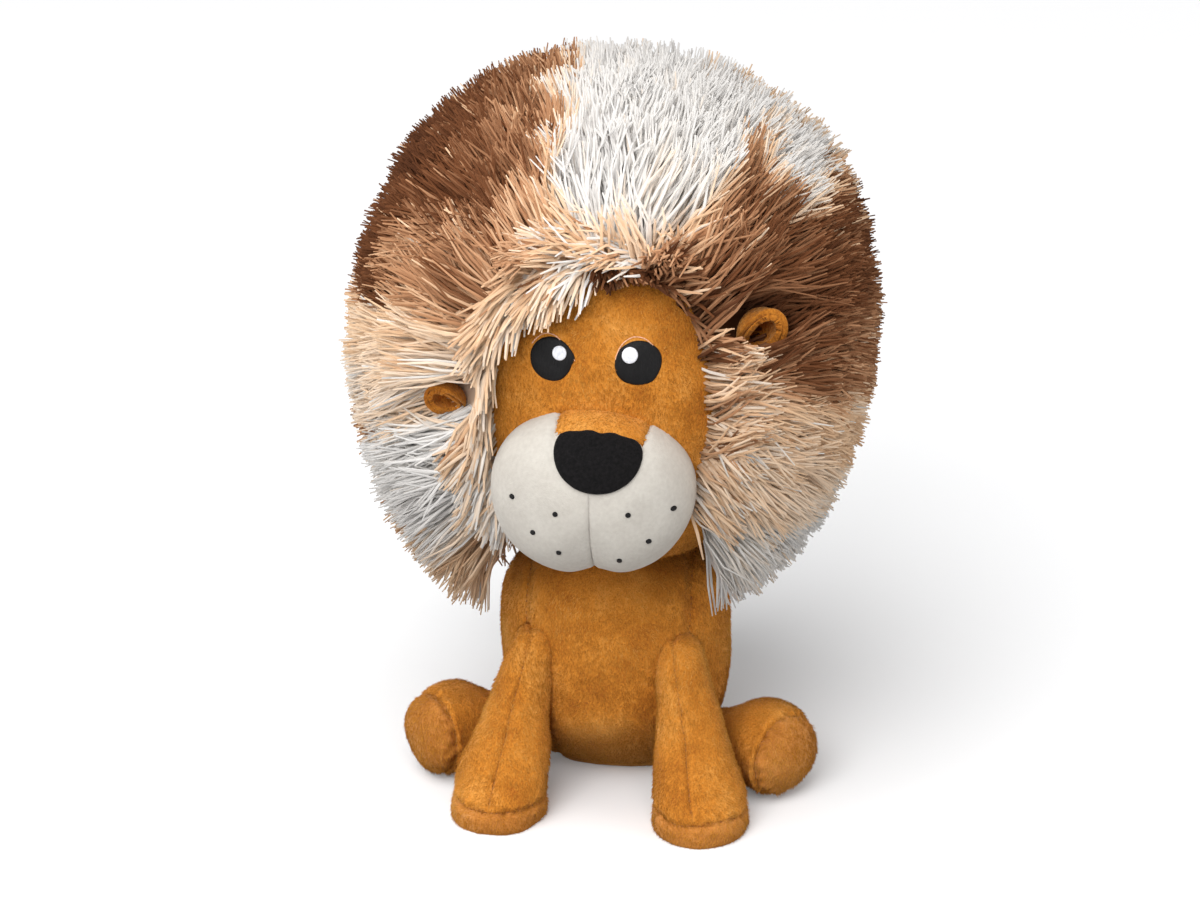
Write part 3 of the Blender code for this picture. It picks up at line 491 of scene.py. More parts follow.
def skin_of(obj):
    """The triangles of a surface, in order, with a normal at each corner."""
    mesh = obj.data
    mesh.calc_loop_triangles()
    corners = np.empty(len(mesh.loop_triangles) * 3, dtype=np.int32)
    mesh.loop_triangles.foreach_get("vertices", corners)
    corners = corners.reshape(-1, 3)
    steps = np.rint(read_points(obj)[corners] / SKIN_STEP).astype(np.int64) + SKIN_SHIFT
    key = (steps[:, :, 0] * SKIN_SPAN + steps[:, :, 1]) * SKIN_SPAN + steps[:, :, 2]
    turned = np.argsort(key, axis=1)
    corners = np.take_along_axis(corners, turned, axis=1)
    key = np.take_along_axis(key, turned, axis=1)
    corners = corners[np.lexsort((key[:, 2], key[:, 1], key[:, 0]))]
    return read_points(obj)[corners], read_normals(obj)[corners]


def thicken(obj, depth):
    """Gives an open panel of fabric its thickness, inwards."""
    skins[obj.name] = skin_of(obj)
    modify(obj, "SOLIDIFY", thickness=depth, offset=-1)


def finish_cover(obj, body, node, look=plush, slot="tan_plush", depth=FABRIC):
    thicken(obj, depth)
    finish_piece(obj, body, [node], slot, look)


print("covers can be kept and thickened")

# %% [markdown]
# A seam shows as a valley: the thread pulls both fabrics in, and small puckers run off it. The valley is
# pressed into the finished form, by the distance of each point from the seam, because no cage is fine
# enough for it. The stitches are one small capsule, modelled once and copied along the seam at the
# machine's pitch.

# %% Seams and stitches
STITCH_PITCH = 2.2 * MM
STITCH_LENGTH = 1.5 * MM
STITCH_RADIUS = 0.24 * MM
SEAM_WIDTH = 1.6 * MM
SEAM_DEPTH = 1.5 * MM
BACKWARDS = (0, 1, 0)
IN_FRONT = -0.3

capsule = added(bpy.ops.mesh.primitive_uv_sphere_add, "stitch_shape", segments=6, ring_count=4, radius=1)
stitch_points = read_points(capsule) * np.array([STITCH_RADIUS, STITCH_RADIUS, STITCH_LENGTH / 2])
stitch_faces = [tuple(face.vertices) for face in capsule.data.polygons]
bpy.data.objects.remove(capsule)


def press_seam(obj, distance, depth=SEAM_DEPTH, width=SEAM_WIDTH, pucker=0.35, seed=1, share=1):
    """Presses a valley where the distance is small, with puckers that run off it."""
    waves = wander(read_points(obj), 5 * MM, seed)
    inwards = depth * valley(distance, width)
    inwards += depth * pucker * waves * valley(distance, 3.2 * width)
    puff(obj, -(inwards * share))


def surface_tree(obj):
    return BVHTree.FromObject(obj, bpy.context.evaluated_depsgraph_get())


def drape(tree, origins, aims):
    """Where lines from the origins first meet a surface, and its normals there. One aim can serve all."""
    hits = []
    aims = np.broadcast_to(np.array(aims, dtype=float), (len(origins), 3))
    for origin, way in zip(origins, aims):
        place, normal, _, _ = tree.ray_cast(Vector(origin), Vector(way).normalized())
        if place is not None:
            hits.append((place, normal))
    return hits


def even_path(hits, pitch):
    """Places at an even pitch along a run of hits, each with its way and normal."""
    places = np.array([hit[0] for hit in hits])
    normals = np.array([hit[1] for hit in hits])
    steps = np.linalg.norm(np.diff(places, axis=0), axis=1)
    run = np.concatenate([[0], np.cumsum(steps)])
    wanted = np.arange(pitch / 2, run[-1], pitch)

    def at(where, rows):
        return np.stack([np.interp(where, run, rows[:, axis]) for axis in range(3)], axis=1)

    ahead = at(wanted + pitch / 4, places) - at(wanted - pitch / 4, places)
    return at(wanted, places), ahead, at(wanted, normals)


def sew(name, runs, body, material, slot, pitch=STITCH_PITCH, sunk=0.14 * MM, scale=1.0):
    """One piece with a stitch at each place along the runs."""
    points = []
    faces = []
    shape = stitch_points * scale
    for hits in runs:
        at, way, normal = even_path(hits, pitch)
        way = unit(way)
        side = unit(np.cross(way, normal))
        normal = np.cross(side, way)
        for centre, z_way, x_way, y_way in zip(at - normal * sunk, way, side, normal):
            start = len(points) * len(stitch_points)
            points.append(centre + shape[:, :1] * x_way + shape[:, 1:2] * y_way + shape[:, 2:] * z_way)
            faces += [[start + corner for corner in face] for face in stitch_faces]
    mesh = bpy.data.meshes.new(name)
    mesh.from_pydata(np.concatenate(points).tolist(), [], faces)
    mesh.validate()
    obj = bpy.data.objects.new(name, mesh)
    scene.collection.objects.link(obj)
    finish_piece(obj, body, [], slot, material)
    print(name, "has", len(points), "stitches")


# %% [markdown]
# The torso is one stuffed form that sits flat, with a short round neck. It is sewn from a front panel, two
# side panels and a base. The seams run down both sides of the belly, in to the armpits, and up the middle
# of the back.

# %% Torso
TORSO_CENTRE = np.array([0, 2, 62]) * MM
TORSO_FORM = ((44.5 * MM, 39.5 * MM), 66 * MM, 38 * MM, (2.8, 2.7))
NECK_UP = 22 * MM
NECK_RADIUS = 24 * MM
NECK_BLEND = 1.5 * MM
BASE_SEAM = 4 * MM
BELLY_HEIGHT = 34 * MM
FRONT_SEAM = [(22, -5), (23, 30), (26, 54), (31.5, 64), (32, 80), (30, 110)]


def line_distance(points, corners):
    """Signed distance from a seam drawn on both halves of the front view, negative on its inner side."""
    nearest = np.full(len(points), 1.0)
    signed = np.full(len(points), 1.0)
    for (x1, z1), (x2, z2) in zip(corners, corners[1:]):
        run = np.array([x2 - x1, z2 - z1]) * MM
        dx = np.abs(points[:, 0]) - x1 * MM
        dz = points[:, 2] - z1 * MM
        share = np.clip((dx * run[0] + dz * run[1]) / (run @ run), 0, 1)
        away = np.hypot(dx - share * run[0], dz - share * run[1])
        turn = np.sign(dx * run[1] - dz * run[0])
        closer = away < nearest
        nearest = np.where(closer, away, nearest)
        signed = np.where(closer, turn * away, signed)
    return signed


def tucked(points):
    """Draws the front of the belly in towards the floor, where the real one curves under."""
    up = np.clip(points[:, 2] / BELLY_HEIGHT, 0, 1)
    share = 1 - 0.58 * (1 - up) ** 1.7
    moved = points.copy()
    front = points[:, 1] < TORSO_CENTRE[1]
    moved[front, 1] = TORSO_CENTRE[1] + (points[front, 1] - TORSO_CENTRE[1]) * share[front]
    return moved


torso = even_ball("torso", 58)
ways = read_points(torso)
rise = ways[:, 2] * NECK_UP
neck_reach = rise + np.sqrt(rise ** 2 + NECK_RADIUS ** 2 - NECK_UP ** 2)
torso_reach = swell_reach(ways, TORSO_FORM)
reach = np.log(np.exp(torso_reach / NECK_BLEND) + np.exp(neck_reach / NECK_BLEND)) * NECK_BLEND
points = ways * reach[:, None] + TORSO_CENTRE
points[:, 2] = np.maximum(points[:, 2], 0)
write_points(torso, tucked(points))
cut_along(torso, (0, 0, BASE_SEAM), (0, 0, 1))
points = read_points(torso)
bulge = wander(points, 60 * MM, 4) * 0.9 * MM + wander(points, 22 * MM, 5) * 0.35 * MM
puff(torso, bulge * np.clip(points[:, 2] / (12 * MM), 0, 1))

points = read_points(torso)
front = points[:, 1] < TORSO_CENTRE[1]
press_seam(torso, np.where(front, np.abs(line_distance(points, FRONT_SEAM)), 1.0), seed=11)
press_seam(torso, np.where(front, 1.0, np.abs(points[:, 0])), seed=12)
torso_tree = surface_tree(torso)

base = split_off(torso, "body_base_cover", face_centres(torso)[:, 2] < BASE_SEAM)
centres = face_centres(torso)
inner = (centres[:, 1] < TORSO_CENTRE[1]) & (line_distance(centres, FRONT_SEAM) < 0)
front_panel = split_off(torso, "body_front_cover", inner)
right_panel = split_off(torso, "body_right_cover", face_centres(torso)[:, 0] > 0)
torso.name = torso.data.name = "body_left_cover"
for side, cover in (("front", front_panel), ("left", torso), ("right", right_panel), ("base", base)):
    finish_cover(cover, "torso", f"body_{side}_panel")

runs = []
path = []
for (x1, z1), (x2, z2) in zip(FRONT_SEAM, FRONT_SEAM[1:]):
    path += [(x1 + (x2 - x1) * k / 12, z1 + (z2 - z1) * k / 12) for k in range(12)]
for sign in SIDES.values():
    runs.append(drape(torso_tree, [(sign * x * MM, -0.2, z * MM) for x, z in path if z > 8], BACKWARDS))
runs.append(drape(torso_tree, [(0, 0.2, z * MM) for z in range(24, 96, 2)], (0, -1, 0)))
sew("body_seam_stitches", runs, "torso", seam_thread, "tan_plush")

# %% [markdown]
# Inside the cover is a ball of fibre fill, and a small bag of pellets in the seat makes the toy sit.
# Neither shows, but the real toy has both, so both are there: slightly smaller forms with the lumps that
# fill has. The fill is drawn in at the shoulders, so that the front legs can turn beside it.

# %% Fillings of the torso
BAG_TOP = 18 * MM
SHOULDER = (32.5, -28, 58)


def lumpy(name, centre, form, low, high, cuts=14, lump=0.8 * MM):
    obj = swollen(name, centre, form, cuts)
    points = read_points(obj)
    points += read_normals(obj) * (wander(points, 14 * MM, len(name)) * lump)[:, None]
    points[:, 2] = np.clip(points[:, 2], low, high)
    write_points(obj, points)
    return obj


def finish_fill(obj, body, node):
    finish_piece(obj, body, [node], "fibre_fill", fill_fibre)


body_fill = lumpy("body_fill", TORSO_CENTRE, resized(TORSO_FORM, -4 * MM), BAG_TOP + 1 * MM, 1)
points = tucked(read_points(body_fill))
for sign in SIDES.values():
    shoulder = np.array(SHOULDER) * (sign, 1, 1) * MM
    points = drawn_away(points, shoulder, 19 * MM, np.array([-sign * 0.6, 0.8, 0]))
write_points(body_fill, points)
finish_fill(body_fill, "torso", "body_stuffing")
bag_centre = TORSO_CENTRE - np.array([0, 0, 52]) * MM
bag_form = ((27 * MM, 24 * MM), 8 * MM, 8 * MM, (2.4, 2.4))
pellets = lumpy("seat_pellet_bag", bag_centre, bag_form, 2.4 * MM, BAG_TOP - 1 * MM)
write_points(pellets, tucked(read_points(pellets)))
finish_piece(pellets, "torso", ["pellet_bag"], "bag_cloth", bag_cloth)
print("the torso is filled")

# %% [markdown]
# Each limb is drawn out of one circle: extruded, moved and resized ring by ring, as a sleeve is cut, and
# then made smooth. Its ends are rounded by their last rings. A leg is modelled standing up; a hind leg and
# the tail are laid down afterwards in the mesh, so that the object itself stays unturned. Its points and
# faces are sorted by their distance from a far corner, because an extrusion doesn't number them alike in
# every run.

# %% Drawing out a limb
FAR_CORNER = (0.31, 0.27, 0.43)


def sleeve(name, rings, sides=16, levels=3):
    """A closed tube through rings of (x, y, z, half width, half depth) in millimetres, all of them level."""
    obj = added(bpy.ops.mesh.primitive_circle_add, name, vertices=sides, radius=MM, fill_type="NGON")
    with editing():
        last = (0, 0, 0, 1, 1)
        for index, ring in enumerate(rings):
            if index:
                bpy.ops.mesh.extrude_region_move()
            bpy.ops.transform.translate(value=[(ring[axis] - last[axis]) * MM for axis in range(3)])
            centre = [ring[axis] * MM for axis in range(3)]
            grow = (ring[3] / last[3], ring[4] / last[4], 1)
            bpy.ops.transform.resize(value=grow, center_override=centre)
            last = ring
        bpy.ops.mesh.select_all(action="SELECT")
        bpy.ops.mesh.normals_make_consistent(inside=False)
        scene.cursor.location = FAR_CORNER
        bpy.ops.mesh.sort_elements(type="CURSOR_DISTANCE", elements={"VERT", "EDGE", "FACE"})
    modify(obj, "SUBSURF", levels=levels, render_levels=levels)
    obj.data.shade_smooth()
    return obj


def lay_down(obj, root, way):
    """Turns a standing limb about the origin so that up becomes the way, and moves it to its root."""
    way = Vector(way).normalized()
    side = Vector((0, 0, 1)).cross(way).normalized()
    turn = Matrix((way.cross(side) * -1, side, way)).transposed()
    obj.data.transform(Matrix.Translation(root) @ turn.to_4x4())


def rest_on_floor(obj):
    points = read_points(obj)
    points[:, 2] = np.maximum(points[:, 2], 0)
    write_points(obj, points)


def shrunk_fill(obj, depth, body):
    """The filling of a stuffed limb: its form, drawn in by the fabric and a gap, with the lumps of fill."""
    fill = obj.copy()
    fill.data = obj.data.copy()
    scene.collection.objects.link(fill)
    fill.name = fill.data.name = body + "_fill"
    modify(fill, "DECIMATE", ratio=0.12)
    points = read_points(fill) - read_normals(fill) * depth
    points += read_normals(fill) * (wander(points, 9 * MM, len(body + "_fill")) * 0.4 * MM)[:, None]
    points[:, 2] = np.maximum(points[:, 2], depth)
    write_points(fill, points)
    finish_fill(fill, body, body + "_stuffing")


print("limbs can be drawn out")

# %% [markdown]
# A front leg is narrow where it is gathered at the shoulder, and widens evenly to a round paw. A seam runs
# down its front and its back, and a sole is sewn in low down. The toe seam isn't quite level, because it is
# sewn by hand.

# %% Front legs
LEG_RINGS = (
    (27.5, -28.0, 69.5, 3.0, 3.0), (27.6, -28.0, 68.6, 6.4, 6.0), (28.2, -28.4, 64.5, 9.2, 8.6),
    (29.5, -30.0, 57.0, 10.2, 9.6), (31.6, -33.0, 48.0, 11.4, 10.6), (33.6, -37.0, 38.0, 12.9, 11.8),
    (35.5, -41.0, 28.0, 14.9, 13.6), (37.4, -44.8, 19.0, 17.3, 16.4), (38.8, -48.0, 11.5, 18.9, 19.4),
    (39.2, -49.2, 4.5, 19.1, 20.6), (39.2, -49.4, -2.0, 18.8, 20.2), (39.2, -49.4, -6.0, 12.0, 13.0),
)
LEG_SEAM_ASIDE = 1.5 * MM
TOE_SEAM = 8.5 * MM
FABRIC_AND_GAP = 2.4 * MM


def leg_middle(sign, heights):
    rings = LEG_RINGS[::-1]
    return np.interp(heights, [ring[2] * MM for ring in rings], [sign * ring[0] * MM for ring in rings])


def toe_height(sign, points):
    return TOE_SEAM + wander(points, 30 * MM, 41 + sign) * 0.9 * MM


for side, sign in SIDES.items():
    body = f"front_leg_{side}"
    leg = sleeve(body + "_outer_cover", [(sign * x, y, z, wide, deep) for x, y, z, wide, deep in LEG_RINGS])
    points = read_points(leg)
    puff(leg, wander(points, 26 * MM, 21 + sign) * 0.8 * MM + wander(points, 9 * MM, 31 + sign) * 0.25 * MM)
    rest_on_floor(leg)
    points = read_points(leg)
    across = points[:, 0] - leg_middle(sign, points[:, 2]) + LEG_SEAM_ASIDE
    above_toe = points[:, 2] - toe_height(sign, points)
    above_share = np.clip(above_toe / (4 * MM), 0, 1)
    press_seam(leg, np.abs(across), 1.1 * MM, 1.5 * MM, seed=51 + sign, share=above_share)
    press_seam(leg, np.abs(above_toe), 1.3 * MM, 1.3 * MM, 0.5, seed=61 + sign)
    pinch = np.hypot(points[:, 0] - sign * 38 * MM - 3 * MM, (points[:, 2] - 17 * MM) * 2.2)
    press_seam(leg, pinch + np.clip(points[:, 1] + 45 * MM, 0, 1), 1.2 * MM, 4 * MM, 0, seed=1)
    shrunk_fill(leg, FABRIC_AND_GAP, body)
    leg_tree = surface_tree(leg)
    centres = face_centres(leg)
    sole = split_off(leg, body + "_sole_cover", centres[:, 2] < toe_height(sign, centres))
    centres = face_centres(leg)
    inside = (centres[:, 0] - leg_middle(sign, centres[:, 2]) + LEG_SEAM_ASIDE) * sign < 0
    inner = split_off(leg, body + "_inner_cover", inside)
    finish_cover(leg, body, body + "_outer_panel")
    finish_cover(inner, body, body + "_inner_panel")
    finish_cover(sole, body, body + "_sole", sole_plush)
    levels = np.arange(12, 62) * MM
    origins = [(x - LEG_SEAM_ASIDE, IN_FRONT, z) for x, z in zip(leg_middle(sign, levels), levels)]
    turns = np.linspace(0, 2 * math.pi, 73)
    around = np.stack([np.cos(turns), np.sin(turns), 0 * turns], axis=1)
    paw = np.array([sign * 39.2, -49.4, 0]) * MM
    ring = paw + around * 0.1
    ring[:, 2] = toe_height(sign, paw + around * (0.018, 0.019, 0) + (0, 0, TOE_SEAM))
    runs = [drape(leg_tree, origins, BACKWARDS), drape(leg_tree, ring, -around)]
    sew(body + "_stitches", runs, body, seam_thread, "tan_plush")

# %% [markdown]
# A hind leg is a short tube that ends in a round foot. The disc that closes the foot is sewn in at a slant,
# so that the sole looks forwards and outwards, as on a toy that sits with its feet apart.

# %% Hind legs
HIND_RINGS = (
    (0, 0, -7, 5, 5), (0, 0, -5, 8, 8), (0, 0, 0, 10.4, 10.4), (0, 0, 8, 11.0, 11.0), (0, 0, 15, 13.4, 13.4),
    (0, 0, 22, 17.3, 17.3), (0, 0, 30, 18.9, 18.9), (0, 0, 37, 18.2, 18.2), (0, 0, 42, 15.6, 15.6),
    (0, 0, 45.5, 11, 11), (0, 0, 47, 5, 5),
)
HIND_STRETCH = {"left": 1.02, "right": 1.0}
HIND_WAY = math.radians(21)
SOLE_TURN_DEG = 19
SOLE_SEAM = 38.5 * MM
BEND_PLACE = 24 * MM
FOOT_HEIGHT = 18.2 * MM
for side, sign in SIDES.items():
    body = f"hind_leg_{side}"
    root = joint_places[body + "_swing"]
    stretch = HIND_STRETCH[side]
    leg = sleeve(body + "_sleeve", [(x, y, z * stretch, wide, deep) for x, y, z, wide, deep in HIND_RINGS])
    points = read_points(leg)
    run = points[:, 2]
    bend = np.clip((run - 18 * MM) / (20 * MM), 0, 1) ** 2 * math.radians(SOLE_TURN_DEG)
    beyond = run - BEND_PLACE
    bent = beyond * np.cos(bend) + sign * points[:, 1] * np.sin(bend)
    along = BEND_PLACE + np.where(run > BEND_PLACE, bent, beyond)
    aside = points[:, 1] * np.cos(bend) - sign * np.maximum(beyond, 0) * np.sin(bend)
    write_points(leg, np.stack([points[:, 0], aside, along], axis=1))
    puff(leg, wander(points, 24 * MM, 71 + sign) * 0.7 * MM)
    press_seam(leg, np.abs(run - SOLE_SEAM), 1.7 * MM, 1.4 * MM, 0.5, seed=81 + sign)
    face_runs = np.array([run[list(face.vertices)].mean() for face in leg.data.polygons])
    lay_down(leg, root, (sign * math.cos(HIND_WAY), -math.sin(HIND_WAY), 0))
    points = read_points(leg)
    points[:, 2] += np.clip((run - 6 * MM) / (20 * MM), 0, 1) * (FOOT_HEIGHT - root.z)
    write_points(leg, points)
    rest_on_floor(leg)
    shrunk_fill(leg, FABRIC_AND_GAP, body)
    leg_tree = surface_tree(leg)
    rim_centre = read_points(leg)[np.abs(run - SOLE_SEAM) < 0.6 * MM].mean(axis=0)
    sole = split_off(leg, body + "_sole_cover", face_runs > SOLE_SEAM)
    finish_cover(leg, body, body + "_cover")
    finish_cover(sole, body, body + "_sole", sole_plush)
    turned = HIND_WAY + math.radians(SOLE_TURN_DEG)
    flat = np.cross([sign * math.cos(turned), -math.sin(turned), 0], [0, 0, 1])
    turns = np.linspace(0, 2 * math.pi, 61)[:, None]
    aims = -(flat * np.cos(turns) + np.array([0, 0, 1]) * np.sin(turns))
    sew(body + "_stitches", [drape(leg_tree, rim_centre - 0.1 * aims, aims)], body, seam_thread, "tan_plush")

# %% [markdown]
# The tail is hidden in the photograph. It is a thin stuffed tube that lies on the ground behind the toy and
# ends in a tuft of the mane's fur, as on a lion of this kind.

# %% Tail
TAIL_RINGS = (
    (0, 0, -5, 3, 3), (0, 0, -3, 5, 5), (0, 0, 0, 5.8, 5.8), (0, 0, 10, 5.6, 5.6), (0, 0, 20, 5.5, 5.5),
    (0, 0, 30, 5.5, 5.5), (0, 0, 40, 5.5, 5.5), (0, 0, 50, 5.3, 5.3), (0, 0, 54, 4, 4),
)
TAIL_RUN = np.array([0, 17, 36, 52]) * MM
TAIL_ASIDE = np.array([0, -1, -5, -10]) * MM
TAIL_UP = np.array([0, -5.6, -6.4, -3]) * MM
tail = sleeve("tail_sleeve", TAIL_RINGS, 12)
run = read_points(tail)[:, 2]
aside = np.interp(run, TAIL_RUN, TAIL_ASIDE)
lay_down(tail, joint_places["tail_swing"], BACKWARDS)
points = read_points(tail)
points[:, 0] += aside
points[:, 2] += np.interp(run, TAIL_RUN, TAIL_UP)
points += read_normals(tail) * (wander(points, 9 * MM, 91) * 0.25 * MM)[:, None]
write_points(tail, points)
rest_on_floor(tail)
off_seam = np.abs(points[:, 0] - aside) + np.where(points[:, 2] < 8 * MM, 0, 1)
press_seam(tail, off_seam, 0.6 * MM, 1.0 * MM, 0.2, seed=92)
skins["tail_sleeve"] = skin_of(tail)
shrunk_fill(tail, 2.2 * MM, "tail")
finish_piece(tail, "tail", ["tail_cover"], "tan_plush", plush)
print("four legs and a tail")

# %% [markdown]
# The neck is closed by hand: a ring of gathered fabric with coarse stitches, hidden under the chin. It
# turns with the head.

# %% Neck ring
GATHERS = 28
ring = added(
    bpy.ops.mesh.primitive_torus_add, "neck_gather", major_segments=96, minor_segments=16,
    major_radius=16.6 * MM, minor_radius=2.9 * MM, location=(0, 2 * MM, 103.8 * MM),
)
bpy.ops.object.transform_apply(location=True)
points = read_points(ring)
turns = np.arctan2(points[:, 1] - 2 * MM, points[:, 0])
puff(ring, np.sin(turns * GATHERS) * 0.35 * MM)
finish_piece(ring, "neck", ["neck_seam_ring"], "tan_plush", plush)
print("the neck is gathered")

# %% [markdown]
# The head is a filled ball, drawn in over the neck and at the ears, which turn there. Its front is the tan
# face panel, which goes on a little under the fur all round.
#
# The face panel, the nose, the eyes and the whisker dots are thin patches on a curved cover. Each is a
# flattened ball whose rim is drawn out to the patch's outline, and which is then laid on the cover: every
# point goes to where a line from the front meets it, and out from there by the patch's own height.

# %% Head ball and face panel
HEAD_CENTRE = np.array([0, 5, 178]) * MM
HEAD_HALF = (72 * MM, 66 * MM)
HEAD_DROP = 78 * MM
HEAD_RISE = 73 * MM
HEAD_POWERS = (3.0, 2.0)
HEAD_FORM = (HEAD_HALF, HEAD_DROP, HEAD_RISE, HEAD_POWERS)
FACE_CENTRE = np.array([0, 0, 170]) * MM
FACE_HALF = (42 * MM, 64 * MM)
NECK_PLACE = np.array([0, 2, 84]) * MM
PATCH_SUNK = 0.4
head_fill = lumpy("head_fill", HEAD_CENTRE, resized(HEAD_FORM, -1.5 * MM), 0, 1, 24, 0.6 * MM)
points = drawn_away(read_points(head_fill), NECK_PLACE, 28 * MM, np.array([0, 0, 1.2]))
for side in SIDES:
    inwards = (HEAD_CENTRE - points) / (120 * MM)
    points = drawn_away(points, joint_places[f"ear_{side}_fold"], 16 * MM, inwards)
write_points(head_fill, points)
finish_fill(head_fill, "head", "head_stuffing")

face = swollen("face_cover", HEAD_CENTRE, resized(HEAD_FORM, 2.2 * MM), 60)
points = read_points(face)
puff(face, wander(points, 40 * MM, 101) * 0.8 * MM + wander(points, 12 * MM, 102) * 0.25 * MM)
head_tree = surface_tree(face)
bpy.data.objects.remove(face)


def laid_patch(name, tree, centre, outline, height, nodes, slot, look, segments=72, rings=20, fullness=4.0):
    """A patch round a centre (x, z) in millimetres, whose outline gives its reach for an array of angles."""
    obj = added(bpy.ops.mesh.primitive_uv_sphere_add, name, segments=segments, ring_count=rings, radius=1)
    ball = read_points(obj)
    angle = np.arctan2(ball[:, 1], ball[:, 0])
    share = np.minimum(np.hypot(ball[:, 0], ball[:, 1]), 1)
    reach = outline(angle) * MM * share
    rise = np.sign(ball[:, 2]) * (1 - share ** fullness) ** (1 / fullness)
    lift = rise * height * MM * np.where(rise > 0, 1, PATCH_SUNK)
    across = centre[0] * MM + reach * np.cos(angle)
    up = centre[1] * MM + reach * np.sin(angle)
    hits = drape(tree, np.stack([across, np.full(len(ball), IN_FRONT), up], axis=1), BACKWARDS)
    write_points(obj, [tuple(place + normal * out) for (place, normal), out in zip(hits, lift)])
    finish_piece(obj, "head", nodes, slot, look)
    return obj


def face_outline(angle):
    """An oval above, and squarer below, where the cheeks go on under the muzzle."""
    power = np.where(np.sin(angle) < 0, 6.0, 2.0)
    wide = (np.abs(np.cos(angle)) * MM / FACE_HALF[0]) ** power
    return (wide + (np.abs(np.sin(angle)) * MM / FACE_HALF[1]) ** power) ** (-1 / power)


face = laid_patch(
    "face_cover", head_tree, (0, 170), face_outline, 1.2, ["face_panel"], "tan_plush", plush, 180, 100, 8.0,
)
skins["face_cover"] = skin_of(face)
head_tree = surface_tree(face)
print("the head is filled and has its face")

# %% [markdown]
# The muzzle is a ball of its own, sewn from two halves and a bridge, and pressed against the face. The nose
# is sewn on a little crooked, and the bridge's seams follow it, so both are measured in the nose's own frame.
# What would be inside the head is cut away.

# %% Muzzle
MUZZLE_CENTRE = np.array([-0.4, -62.5, 143]) * MM
MUZZLE_FORM = ((37.4 * MM, 26.5 * MM), 32.0 * MM, 31.5 * MM, (2.15, 2.1))
SEAM_X = 1.6 * MM
NOSE_ROLL = math.radians(-5.5)
NOSE_X = 3.4 * MM
NOSE_Z = 166 * MM
BRIDGE_LOW = 1.5 * MM
BRIDGE_HALF = 16.2 * MM
muzzle = swollen("muzzle_left_cover", MUZZLE_CENTRE, MUZZLE_FORM, 56)
nose_place = np.array([NOSE_X, 0, NOSE_Z])
nose_across = np.array([math.cos(NOSE_ROLL), 0, math.sin(NOSE_ROLL)])
nose_up = np.array([-math.sin(NOSE_ROLL), 0, math.cos(NOSE_ROLL)])
cut_along(muzzle, (SEAM_X, 0, 0), (1, 0, 0))
cut_along(muzzle, nose_place + nose_across * BRIDGE_HALF, nose_across)
cut_along(muzzle, nose_place - nose_across * BRIDGE_HALF, nose_across)
cut_along(muzzle, nose_place + nose_up * BRIDGE_LOW, nose_up)
points = read_points(muzzle)
middle = np.abs(points[:, 0] - SEAM_X)
under_nose = np.clip((154 * MM - points[:, 2]) / (16 * MM), 0, 1)
deeper = np.clip((156 * MM - points[:, 2]) / (30 * MM), 0, 1.3)
cleft = 2.2 * MM * valley(middle, 7 * MM) * under_nose * deeper
puff(muzzle, wander(points, 30 * MM, 111) * 0.5 * MM - cleft)
press_seam(muzzle, middle, 0.8 * MM, 0.9 * MM, 0.2, seed=112, share=under_nose)


def rolled(points):
    """Places in the nose's own frame, which is sewn on a little crooked: across, and up."""
    dx = points[:, 0] - NOSE_X
    dz = points[:, 2] - NOSE_Z
    return dx * nose_across[0] + dz * nose_across[2], dz * nose_up[2] + dx * nose_up[0]


nose_tree = surface_tree(muzzle)
points = read_points(muzzle)
across, height = rolled(points)
side_gap = np.abs(np.abs(across) - BRIDGE_HALF) + np.where(height > BRIDGE_LOW - 1 * MM, 0, 1)
low_gap = np.abs(height - BRIDGE_LOW) + np.where(np.abs(across) < BRIDGE_HALF + 1 * MM, 0, 1)
bridge_gap = np.minimum(side_gap, low_gap) + np.where(points[:, 1] > -50 * MM, 1, 0)
press_seam(muzzle, bridge_gap, 0.9 * MM, 1.1 * MM, 0.0, seed=113)
muzzle_tree = surface_tree(muzzle)
from_head = face_centres(muzzle) - HEAD_CENTRE
deep = swell_reach(unit(from_head), HEAD_FORM) - np.linalg.norm(from_head, axis=1) > 1 * MM
bpy.data.objects.remove(split_off(muzzle, "muzzle_hidden", deep))
across, height = rolled(face_centres(muzzle))
bridge = split_off(muzzle, "nose_bridge_cover", (np.abs(across) < BRIDGE_HALF) & (height > BRIDGE_LOW))
muzzle_right = split_off(muzzle, "muzzle_right_cover", face_centres(muzzle)[:, 0] > SEAM_X)
MUZZLE_FABRIC = 1.2 * MM
finish_cover(muzzle, "head", "muzzle_left_panel", cream.material, "cream_fabric", MUZZLE_FABRIC)
finish_cover(muzzle_right, "head", "muzzle_right_panel", cream.material, "cream_fabric", MUZZLE_FABRIC)
finish_cover(bridge, "head", "nose_bridge_panel", depth=MUZZLE_FABRIC)
muzzle_fill = lumpy("muzzle_fill", MUZZLE_CENTRE, resized(MUZZLE_FORM, -5 * MM), 0, 1, 16, 0.3 * MM)
finish_fill(muzzle_fill, "head", "muzzle_stuffing")
origins = [(SEAM_X, IN_FRONT, z) for z in np.arange(147, 111, -1.0) * MM]
sew(
    "muzzle_seam_stitches", [drape(muzzle_tree, origins, BACKWARDS)], "head", cream_thread, "cream_fabric",
    scale=0.6,
)
print("face and muzzle")
